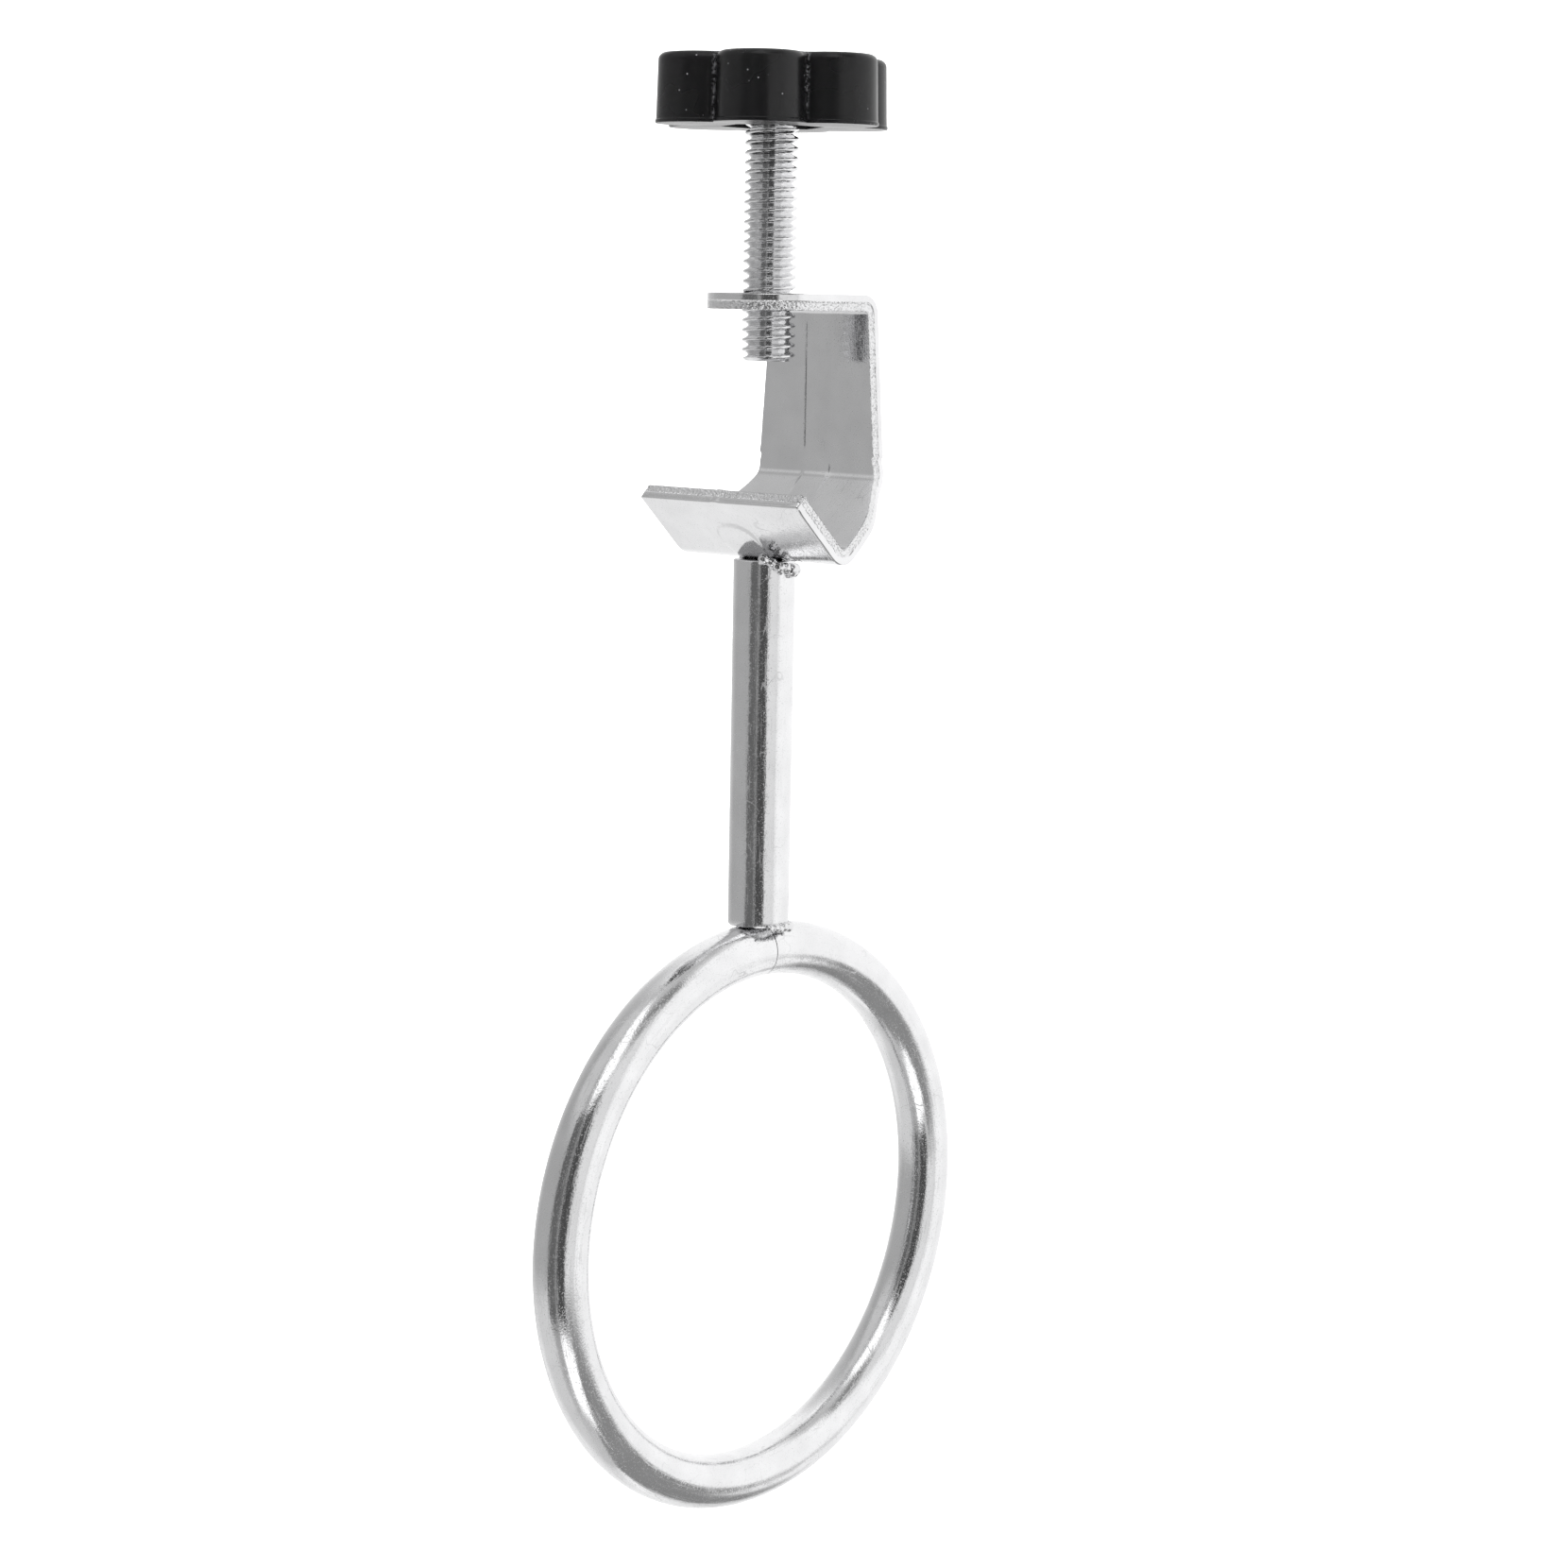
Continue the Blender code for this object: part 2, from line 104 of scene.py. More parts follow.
class HookSizes(bpy.types.PropertyGroup):
    """The bent strip of sheet steel that hooks over a stand rod."""

    sheet: length("Sheet", "Thickness of the sheet steel", 2.4 * MM)
    seat_radius: length("Seat rod radius", "Stand rod that the V is drawn around", 6.35 * MM)
    v_slope: angle("V slope", "Each leg of the V above the horizontal", 43.0)
    front_leg: length("Front leg", "From the V's corner to the lip", 12.4 * MM)
    lug_bend: length("Lug bend", "Inside radius between lug and back plate", 0.6 * MM)
    back_bend: length("Back bend", "Inside radius between back plate and V", 2.2 * MM)
    v_bend: length("V bend", "Inside radius at the V's corner", 1.2 * MM)
    lug_end: length("Lug end", "Radius of the lug's round end", 9.05 * MM)
    half_top: length("Half width at lug", "Half the back plate's width at the lug", 9.6 * MM)
    half_low: length("Half width at flare", "Half the width where the flare starts", 11.2 * MM)
    half_v: length("Half width at V", "Half the hook's width at the V", HOOK_HIGH.x)
    half_lip: length("Half width at lip", "Half the hook's width at the lip", HOOK_HIGH.x)
    flare_start: length("Flare start", "Above the lower bend", 2.3 * MM)
    flare_end: length("Flare end", "Above the V's corner, along the rear leg", 5.2 * MM)
    hole_radius: length("Hole mouth", "Radius of the screw hole's mouth", 4.1 * MM)
    rib_depth: length("Rib depth", "How far the pressed rib stands out", 0.4 * MM)
    rib_side: length("Rib side", "Width of the rib's sloping side", 0.55 * MM)
    rib_end: length("Rib end", "Where the rib's arch ends, up the front leg", 7.7 * MM)
    die_roll: length("Die roll", "Rounding of the sheared edge's outer side", 0.26 * MM)


class RodSizes(bpy.types.PropertyGroup):
    """The round rods and the welds that join them."""

    handle_radius: length("Handle radius", "Radius of the straight rod", ROD_HIGH.x)
    cut_edge: length("Cut edge", "Chamfer left at the straight rod's ends", 0.22 * MM)
    ring_rod: length("Ring rod radius", "Radius of the ring's rod", RING_HIGH.x)
    ring_outer: length("Ring outer radius", "Outer radius of the ring", RING_HIGH.y - 0.01 * MM)
    seam: length("Seam", "Open width of the ring's butt joint", 0.14 * MM)
    seam_edge: length("Seam edge", "Rounding of the rod's ends at the joint", 0.34 * MM)
    bead: length("Weld bead", "Mean radius of the weld's lumps", 0.78 * MM)


class BoltSizes(bpy.types.PropertyGroup):
    """The hex bolt that clamps the stand rod."""

    pitch: length("Pitch", "Distance between threads, 18 to the inch", 25.4 / 18 * MM)
    outer_radius: length("Outer radius", "Radius over the thread's crests", 3.92 * MM)
    head_flats: length("Head flats", "Width of the hex head across its flats", 12.7 * MM)
    head_height: length("Head height", "Height of the hex head", 5.3 * MM)
    tip_chamfer: length("Tip chamfer", "Chamfer at the bolt's end", 0.5 * MM)
    bore: length("Bore", "Radius of the hole around the core pin", CORE_HIGH.x + 0.3 * MM)


class KnobSizes(bpy.types.PropertyGroup):
    """The moulded star knob."""

    lobes: bpy.props.IntProperty(name="Lobes", description="Number of lobes", default=6, min=3)
    lobe_radius: length("Lobe radius", "Radius of one lobe", 6.74 * MM)
    lobe_centre: length("Lobe centre", "From the axis to a lobe's centre", 10.85 * MM)
    phase: angle("Phase", "Direction of the first lobe from +X", -57.1)
    edge: length("Upper edge", "Rounding of the upper edge", 1.1 * MM)
    draft: length("Draft", "How far the wall leans in over its height", 0.26 * MM)


class Finishes(bpy.types.PropertyGroup):
    """Colours of the materials."""

    zinc: colour("Bright zinc", "Colour of the bright zinc plating", "#E9E9EA")
    shear: colour("Sheared steel", "Plated colour of the broken edge", "#E6E6E7")
    weld: colour("Plated weld", "Plated colour of the weld metal", "#E2E2E3")
    steel: colour("Plain steel", "Colour of the hidden core pin", "#A9A9AB")
    plastic: colour("Black plastic", "Colour of the moulded knob", "#0E0E0F")
    # The lighter colour of the knob's dust specks, also used for its painted highlight line along the
    # valleys.
    plastic_dust_and_highlight: colour("Worn plastic", "Colour of rubbed plastic and dust", "#77777A")
    paper: colour("White paper", "Colour of the floor and its sweep", "#F4F4F4")


class StageSizes(bpy.types.PropertyGroup):
    """The camera and the tent of light around the object."""

    heading: angle("Camera heading", "Camera's heading from the hook's open side", 41.27)
    elevation: angle("Camera elevation", "Camera's height above the horizon", 8.4)
    roll: angle("Camera roll", "Turn of the camera about its own axis", 1.09)
    distance: length("Camera distance", "From the camera to its aim", 486.5 * MM)
    aim_right: length("Aim to the right", "Aim to the right of the stand rod's axis", 3.5 * MM)
    aim_down: length("Aim below", "Aim below the stand rod's axis", 43.7 * MM)
    lens: bpy.props.FloatProperty(name="Lens", description="Focal length on a 36 mm sensor",
                                  default=75.97, unit="CAMERA")
    tent_radius: length("Tent radius", "Radius of the reflected light tent", 1.2)
    floor_drop: length("Floor drop", "Floor below the ring", 0.12)
    floor_radius: length("Floor radius", "Radius of the flat part of the floor", 1.6)


# ---------------------------------------------------------------- shared tools

def connect(tree, node, inputs):
    """Link a node's inputs to sockets, or set them to plain values."""
    for key, value in inputs.items():
        if isinstance(value, bpy.types.NodeSocket):
            tree.links.new(value, node.inputs[key])
        else:
            node.inputs[key].default_value = value


def add_node(tree, kind, inputs=None, **settings):
    """Add one node, set its properties, and set or link its inputs."""
    made = tree.nodes.new(kind)
    for key, value in settings.items():
        setattr(made, key, value)
    connect(tree, made, inputs or {})
    return made


def calc(tree, operation, *values):
    """The result of one math node."""
    return add_node(tree, "ShaderNodeMath", dict(enumerate(values)), operation=operation).outputs[0]


def remap(tree, value, low, high, to_low=0.0, to_high=1.0, **settings):
    """A value moved from one range to another, and kept inside it."""
    limits = {"Value": value, "From Min": low, "From Max": high, "To Min": to_low, "To Max": to_high}
    return add_node(tree, "ShaderNodeMapRange", limits, **settings).outputs[0]


def mottle(tree, place, size, detail, **inputs):
    """Noise from 0 to 1 with features of about this size in metres."""
    scaled = {"Vector": place, "Scale": 1 / size, "Detail": detail, **inputs}
    return add_node(tree, "ShaderNodeTexNoise", scaled).outputs["Fac"]


def stored(tree, name, output):
    """An attribute of the mesh, read by a material."""
    return add_node(tree, "ShaderNodeAttribute", attribute_name=name).outputs[output]


def store_named(tree, geometry, name, value, kind):
    """Geometry with one value of this kind kept at each of its points."""
    inputs = {"Geometry": geometry, "Name": name, "Value": value}
    kept = add_node(tree, "GeometryNodeStoreNamedAttribute", inputs, data_type=kind, domain="POINT")
    return kept.outputs[0]


def ramp(value, low, high):
    """0 below one value and 1 above another, with a smooth step between."""
    share = min(max((value - low) / (high - low), 0.0), 1.0)
    return share * share * (3 - 2 * share)


def new_shader(name):
    """A new material with its tree and its Principled shader."""
    material = bpy.data.materials.new(name)
    material.use_nodes = True
    return material, material.node_tree, material.node_tree.nodes["Principled BSDF"]


def new_piece(name, mesh, material):
    """A mesh object in the scene with one material."""
    piece = bpy.data.objects.new(name, mesh)
    bpy.context.scene.collection.objects.link(piece)
    mesh.materials.clear()
    mesh.materials.append(material)
    return piece


def settle(piece, body, slot, *nodes):
    """Put a finished piece on its body, in place of its CAD nodes."""
    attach(piece, body)
    if nodes:
        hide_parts(*nodes)


def evaluated_mesh(piece):
    """The piece's mesh with its modifiers applied."""
    depsgraph = bpy.context.evaluated_depsgraph_get()
    return bpy.data.meshes.new_from_object(piece.evaluated_get(depsgraph))


def bake_modifiers(piece):
    """Turn a piece's modifiers into its plain mesh."""
    mesh = evaluated_mesh(piece)
    materials = [slot.material for slot in piece.material_slots]
    piece.modifiers.clear()
    piece.data = mesh
    mesh.materials.clear()
    for material in materials:
        mesh.materials.append(material)


def smooth_mesh(mesh, degrees=40):
    """Smooth shading that keeps real edges sharp."""
    mesh.shade_smooth()
    mesh.set_sharp_from_angle(angle=math.radians(degrees))


def face_outwards(mesh, merge=0.0):
    """Merge points closer than this, then turn every face outwards."""
    bm = bmesh.new()
    bm.from_mesh(mesh)
    if merge:
        bmesh.ops.remove_doubles(bm, verts=bm.verts, dist=merge)
    bmesh.ops.recalc_face_normals(bm, faces=bm.faces)
    bm.to_mesh(mesh)
    bm.free()


def mesh_from_lists(name, points, faces):
    """A mesh with its normals pointing outwards."""
    mesh = bpy.data.meshes.new(name)
    mesh.from_pydata(points, [], faces)
    face_outwards(mesh)
    return mesh


def mesh_from_bm(name, bm):
    """A new mesh from a bmesh, which is freed."""
    mesh = bpy.data.meshes.new(name)
    bm.to_mesh(mesh)
    bm.free()
    return mesh


def stacked_faces(rows, around):
    """Faces that join a stack of equal closed loops and cap both its ends."""
    faces = []
    for row in range(rows - 1):
        for step in range(around):
            follow = (step + 1) % around
            faces.append((row * around + step, row * around + follow,
                          (row + 1) * around + follow, (row + 1) * around + step))
    faces.append(tuple(range(around)))
    faces.append(tuple((rows - 1) * around + step for step in range(around)))
    return faces


def store_vectors(mesh, name, vectors):
    """Keep one vector for each vertex as a named attribute."""
    layer = mesh.attributes.new(name, "FLOAT_VECTOR", "POINT")
    layer.data.foreach_set("vector", [part for vector in vectors for part in vector])


def store_numbers(mesh, name, numbers):
    """Keep one number for each vertex as a named attribute."""
    mesh.attributes.new(name, "FLOAT", "POINT").data.foreach_set("value", numbers)


def geometry_tree(name, sockets):
    """A geometry tree with named inputs and one geometry output."""
    tree = bpy.data.node_groups.new(name, "GeometryNodeTree")
    for label, kind in sockets:
        tree.interface.new_socket(name=label, in_out="INPUT", socket_type=kind)
    tree.interface.new_socket(name="Geometry", in_out="OUTPUT", socket_type="NodeSocketGeometry")
    return tree, add_node(tree, "NodeGroupInput").outputs


def finish_tree(tree, geometry, material):
    """End a geometry tree in Realize Instances and Set Material."""
    real = add_node(tree, "GeometryNodeRealizeInstances", {0: geometry})
    dressed = add_node(tree, "GeometryNodeSetMaterial", {"Geometry": real.outputs[0], "Material": material})
    add_node(tree, "NodeGroupOutput", {0: dressed.outputs[0]})


def mesh_from_tree(name, tree, values):
    """Run a geometry tree once with these input values and keep the plain mesh."""
    carrier = bpy.data.objects.new(name, bpy.data.meshes.new(name))
    bpy.context.scene.collection.objects.link(carrier)
    modifier = carrier.modifiers.new(name, "NODES")
    modifier.node_group = tree
    for item in tree.interface.items_tree:
        if item.in_out == "INPUT":
            modifier[item.identifier] = values[item.name]
    mesh = evaluated_mesh(carrier)
    bpy.data.objects.remove(carrier)
    return mesh


# ---------------------------------------------------------------- materials

def plating_layers(tree, place, grain, stretch):
    """Patterns of bright plated steel, read at a place on the unbent piece.

    Returns (speck, height): speck is high in small dull spots and hairlines, and height is
    the surface's own relief in metres.
    """
    drawn_at = add_node(tree, "ShaderNodeVectorMath", {0: place, 1: stretch}, operation="MULTIPLY")
    drawn = mottle(tree, drawn_at.outputs[0], 0.30 * MM, 3.0, Roughness=0.6)
    pits = mottle(tree, place, grain * 0.62, 2.0, Roughness=0.55)
    waves = mottle(tree, place, 3.2 * MM, 1.0)
    # Hairline scratches are thin contours of a slow noise, so they run in loose curves.
    slow = mottle(tree, place, 7.0 * MM, 1.5, Distortion=0.6)
    on_line = calc(tree, "COMPARE", slow, 0.5, 0.004)
    sparse = mottle(tree, place, 4.5 * MM, 0.0)
    hair = calc(tree, "MULTIPLY", on_line, remap(tree, sparse, 0.50, 0.56))
    spots = remap(tree, pits, 0.53, 0.68)
    streaks = remap(tree, drawn, 0.52, 0.72)
    speck = calc(tree, "MAXIMUM", calc(tree, "MAXIMUM", spots, streaks), hair)
    fine = calc(tree, "MULTIPLY", pits, 0.014 * MM)
    ridged = calc(tree, "MULTIPLY_ADD", drawn, 0.012 * MM, fine)
    return speck, calc(tree, "MULTIPLY_ADD", waves, 0.03 * MM, ridged)


def bright_zinc(name, tint, place_name, grain=0.42 * MM, stretch=(1.0, 1.0, 0.05), clean=0.065, dull=0.45,
                depth=1.0):
    """Electroplated bright zinc: mirror-like with small dull specks, drawn lines and hairlines."""
    material, tree, shader = new_shader(name)
    if place_name:
        place = stored(tree, place_name, "Vector")
    else:
        place = add_node(tree, "ShaderNodeTexCoord").outputs["Object"]
    speck, height = plating_layers(tree, place, grain, stretch)
    shade = remap(tree, mottle(tree, place, 5.0 * MM, 3.0), 0.3, 0.7, 0.93, 1.02)
    tinted = add_node(tree, "ShaderNodeVectorMath", {0: tint, "Scale": shade}, operation="SCALE")
    relief = add_node(tree, "ShaderNodeBump", {"Height": height, "Strength": 1.0, "Distance": depth})
    connect(tree, shader, {"Metallic": 1.0, "Base Color": tinted.outputs[0], "Normal": relief.outputs[0],
                           "Roughness": remap(tree, speck, 0.0, 1.0, clean, dull)})
    return material


def sheared_zinc_sheet(name, tint, edge_tint):
    """Bright zinc on sheet steel, with the pebbly break along its sheared edges."""
    material = bright_zinc(name, tint, "blank", grain=0.5 * MM, stretch=(1.0, 1.0, 0.10), clean=0.09,
                           dull=0.36, depth=0.6)
    tree = material.node_tree
    shader = tree.nodes["Principled BSDF"]
    broken = stored(tree, "broken", "Fac")
    pebbles = add_node(tree, "ShaderNodeTexVoronoi", {"Vector": stored(tree, "blank", "Vector"),
                                                      "Scale": 1 / (0.34 * MM)}, feature="SMOOTH_F1")
    rise = calc(tree, "MULTIPLY", pebbles.outputs["Distance"], broken)
    relief = shader.inputs["Normal"].links[0].from_node
    height = relief.inputs["Height"].links[0].from_socket
    sunk = calc(tree, "SUBTRACT", height, calc(tree, "MULTIPLY", rise, 0.42 * MM))
    smooth = shader.inputs["Roughness"].links[0].from_socket
    rough = add_node(tree, "ShaderNodeMix", {0: broken, 2: smooth, 3: 0.30}, data_type="FLOAT")
    base = shader.inputs["Base Color"].links[0].from_socket
    mixed = add_node(tree, "ShaderNodeMix", {0: broken, 6: base, 7: (*edge_tint, 1.0)}, data_type="RGBA")
    connect(tree, relief, {"Height": sunk})
    connect(tree, shader, {"Roughness": rough.outputs[0], "Base Color": mixed.outputs[2]})
    return material


def moulded_plastic(name, tint, dust_and_highlight):
    """Injection-moulded black plastic: satin, faintly grained, with light dust specks and a painted
    highlight line along the lobe valleys.
    """
    material, tree, shader = new_shader(name)
    place = add_node(tree, "ShaderNodeTexCoord").outputs["Object"]
    grain = mottle(tree, place, 0.45 * MM, 3.0)
    flow = mottle(tree, place, 9.0 * MM, 2.0)
    dust = add_node(tree, "ShaderNodeTexVoronoi", {"Vector": place, "Scale": 1 / (1.1 * MM)})
    spot = remap(tree, dust.outputs["Distance"], 0.13, 0.05)
    chosen = add_node(tree, "ShaderNodeSeparateColor", {0: dust.outputs["Color"]})
    loose = calc(tree, "MULTIPLY", spot, calc(tree, "GREATER_THAN", chosen.outputs[0], 0.72))
    # Dust specks and a painted highlight line, both in the lighter colour, run along the valleys between the
    # lobes.
    patchy = remap(tree, grain, 0.46, 0.62, 0.0, 0.5)
    valley_dust_and_highlight = calc(tree, "MULTIPLY", stored(tree, "valley", "Fac"), patchy)
    speck = calc(tree, "MAXIMUM", loose, valley_dust_and_highlight)
    mixed = add_node(tree, "ShaderNodeMix", {0: speck, 6: (*tint, 1.0), 7: (*dust_and_highlight, 1.0)}, data_type="RGBA")
    rise = calc(tree, "MULTIPLY", grain, 0.004 * MM)
    relief = add_node(tree, "ShaderNodeBump", {"Height": rise, "Distance": 1.0})
    connect(tree, shader, {"Base Color": mixed.outputs[2], "Normal": relief.outputs[0], "IOR": 1.5,
                           "Roughness": remap(tree, flow, 0.3, 0.7, 0.20, 0.30),
                           "Specular IOR Level": 0.32})
    return material


# ---------------------------------------------------------------- hook bracket

# One straight run of the strip and the bend that ends it. travelled is the distance before it.
Run = namedtuple("Run", "travelled start into inward straight radius turn")


class Strip:
    """The strip's inside face in the YZ plane: straight runs joined by round bends."""

    def __init__(self, corners):
        """corners is a list of (point, bend radius) from the lug's end to the lip."""
        self.runs = []
        start = corners[0][0]
        travelled = 0.0
        for number, (here, radius) in enumerate(corners[1:]):
            into = (here - corners[number][0]).normalized()
            inward = Vector((into.y, -into.x))
            turn = 0.0
            out = into
            if number < len(corners) - 2:
                out = (corners[number + 2][0] - here).normalized()
                turn = into.angle(out)
            end = here - into * radius * math.tan(turn / 2)
            straight = (end - start).length
            self.runs.append(Run(travelled, start, into, inward, straight, radius, turn))
            travelled += straight + radius * turn
            start = here + out * radius * math.tan(turn / 2)
        self.length = travelled

    def at(self, distance):
        """Point and outward normal at a distance along the strip."""
        run = [item for item in self.runs if item.travelled <= distance + 1e-9][-1]
        along = distance - run.travelled
        if along <= run.straight or run.radius == 0.0:
            return run.start + run.into * along, -run.inward
        swing_angle = min((along - run.straight) / run.radius, run.turn)
        swing = run.inward * math.cos(swing_angle) - run.into * math.sin(swing_angle)
        centre = run.start + run.into * run.straight + run.inward * run.radius
        return centre - swing * run.radius, -swing

    def rows(self, first, spacing, bend_rows):
        """Distances of rows along the strip, closer together around the bends."""
        found = []
        for run in self.runs:
            steps = max(1, round(run.straight / spacing))
            found += [run.travelled + run.straight * step / steps for step in range(steps + 1)]
            found += [run.travelled + run.straight + run.radius * run.turn * step / bend_rows
                      for step in range(1, bend_rows) if run.turn]
        return [first] + [distance for distance in found if distance > first + 0.2 * spacing]


class HookShape:
    """Outline, rib and path of the hook's flat blank."""

    def __init__(self, sizes):
        self.sizes = sizes
        slope = sizes.v_slope
        self.back_y = HOOK_HIGH.y - sizes.sheet
        self.lug_z = HOOK_HIGH.z - sizes.sheet
        self.corner_z = -sizes.seat_radius / math.cos(slope)
        self.bend_z = self.corner_z + self.back_y * math.tan(slope)
        corner = Vector((0.0, self.corner_z))
        lip = Vector((-math.cos(slope), math.sin(slope))) * sizes.front_leg
        self.strip = Strip([
            (Vector((-sizes.lug_end, self.lug_z)), 0.0),
            (Vector((self.back_y, self.lug_z)), sizes.lug_bend),
            (Vector((self.back_y, self.bend_z)), sizes.back_bend),
            (corner, sizes.v_bend),
            (corner + lip, 0.0),
        ])
        lug, plate, self.rear, front = self.strip.runs
        rear = self.rear
        # Distances along the strip
        self.screw = sizes.lug_end
        self.back = lug.travelled + lug.straight
        self.flare_start = plate.travelled + (plate.start.y - self.bend_z - sizes.flare_start)
        self.flare_end = rear.travelled + (corner - rear.start).dot(rear.into) - sizes.flare_end
        self.corner = front.travelled + (corner - front.start).dot(front.into)
        self.lip = self.strip.length

    def half_width(self, distance, side):
        """Half the strip's width on one side, without the round end of the lug."""
        sizes = self.sizes

        def between(first, second):
            return min(max((distance - first) / (second - first), 0.0), 1.0)

        if distance <= self.back:
            wide = sizes.lug_end + (sizes.half_top - sizes.lug_end) * between(self.screw, self.back)
        elif distance < self.flare_start:
            wide = sizes.half_top + (sizes.half_low - sizes.half_top) * between(self.back, self.flare_start)
        elif distance < self.corner - 1.0 * MM:
            late = 2.6 * MM if side < 0 else 0.0
            share = ramp(distance, self.flare_start + late, self.flare_end + late)
            wide = sizes.half_low + (sizes.half_v - sizes.half_low) * share
        else:
            wide = sizes.half_v + (sizes.half_lip - sizes.half_v) * between(self.corner, self.lip)
        # The press leaves a nick where the straight shear meets the flare.
        nick = (distance - self.flare_start) / (0.45 * MM)
        wide += 0.16 * MM * math.exp(-(nick + 1.4) ** 2) - 0.34 * MM * math.exp(-nick * nick)
        round_off = 0.5 * MM
        past = distance - (self.lip - round_off)
        if past > 0:
            wide -= round_off - math.sqrt(max(round_off ** 2 - past ** 2, 0.0))
        return wide

    def rib(self, distance, x):
        """Depth of the pressed rib at a point of the blank."""
        sizes = self.sizes
        up = distance - self.corner
        spread = min(max((up + 2.0 * MM) / (5.0 * MM), 0.0), 1.0)
        left = -(2.6 + 2.1 * spread) * MM
        right = 3.1 * MM
        middle = (left + right) / 2
        half = (right - left) / 2
        arch_start = 4.3 * MM
        over = max(up - arch_start, 0.0) / (sizes.rib_end - arch_start)
        inside = (1 - math.hypot(over, (x - middle) / half)) * half
        # Faint on the back plate, pushed inwards across its lower bend, faint again in its arch
        bend = self.rear.travelled - sizes.back_bend
        level = 0.46 * ramp(distance, self.back + 0.6 * MM, self.back + 2.4 * MM)
        level -= 0.91 * ramp(distance, bend - 2.6 * MM, bend)
        level += 0.9 * ramp(distance, bend + 1.0 * MM, self.corner - 3.0 * MM)
        level += 0.1 * ramp(up, 1.6 * MM, 4.4 * MM)
        return sizes.rib_depth * ramp(inside, 0.0, sizes.rib_side) * level


def thread_share(height, heading, pitch):
    """Share of the lug's thread at a place: 0 in its groove and 1 at its ridge.

    The groove takes the bolt's crest, so both threads read the same phase.
    """
    phase = (height / pitch - heading / math.tau) % 1.0
    return min(max((abs(2 * phase - 1) - 0.125) / 0.625, 0.0), 1.0)


def blank_columns(border):
    """Places across the strip: every 0.25 mm over the rib, then five wider ones to the border."""
    fixed = [step * 0.25 * MM for step in range(-26, 27)]
    edge = fixed[-1]
    outer = [edge + (border - edge) * share for share in (0.2, 0.4, 0.6, 0.8, 1.0)]
    return [-place for place in reversed(outer)] + fixed + outer


def uneven_columns(left, right):
    """The same places where the strip's two sides differ in width."""
    return [x if x < 0 else y for x, y in zip(blank_columns(left), blank_columns(right))]


def outline_normals(points):
    """Outward unit normals of a closed outline in the blank's plane."""
    count = len(points)
    normals = []
    for index in range(count):
        ahead = points[(index + 1) % count]
        behind = points[index - 1]
        along = (ahead - behind).normalized()
        normals.append(Vector((along.y, -along.x)))
    return normals


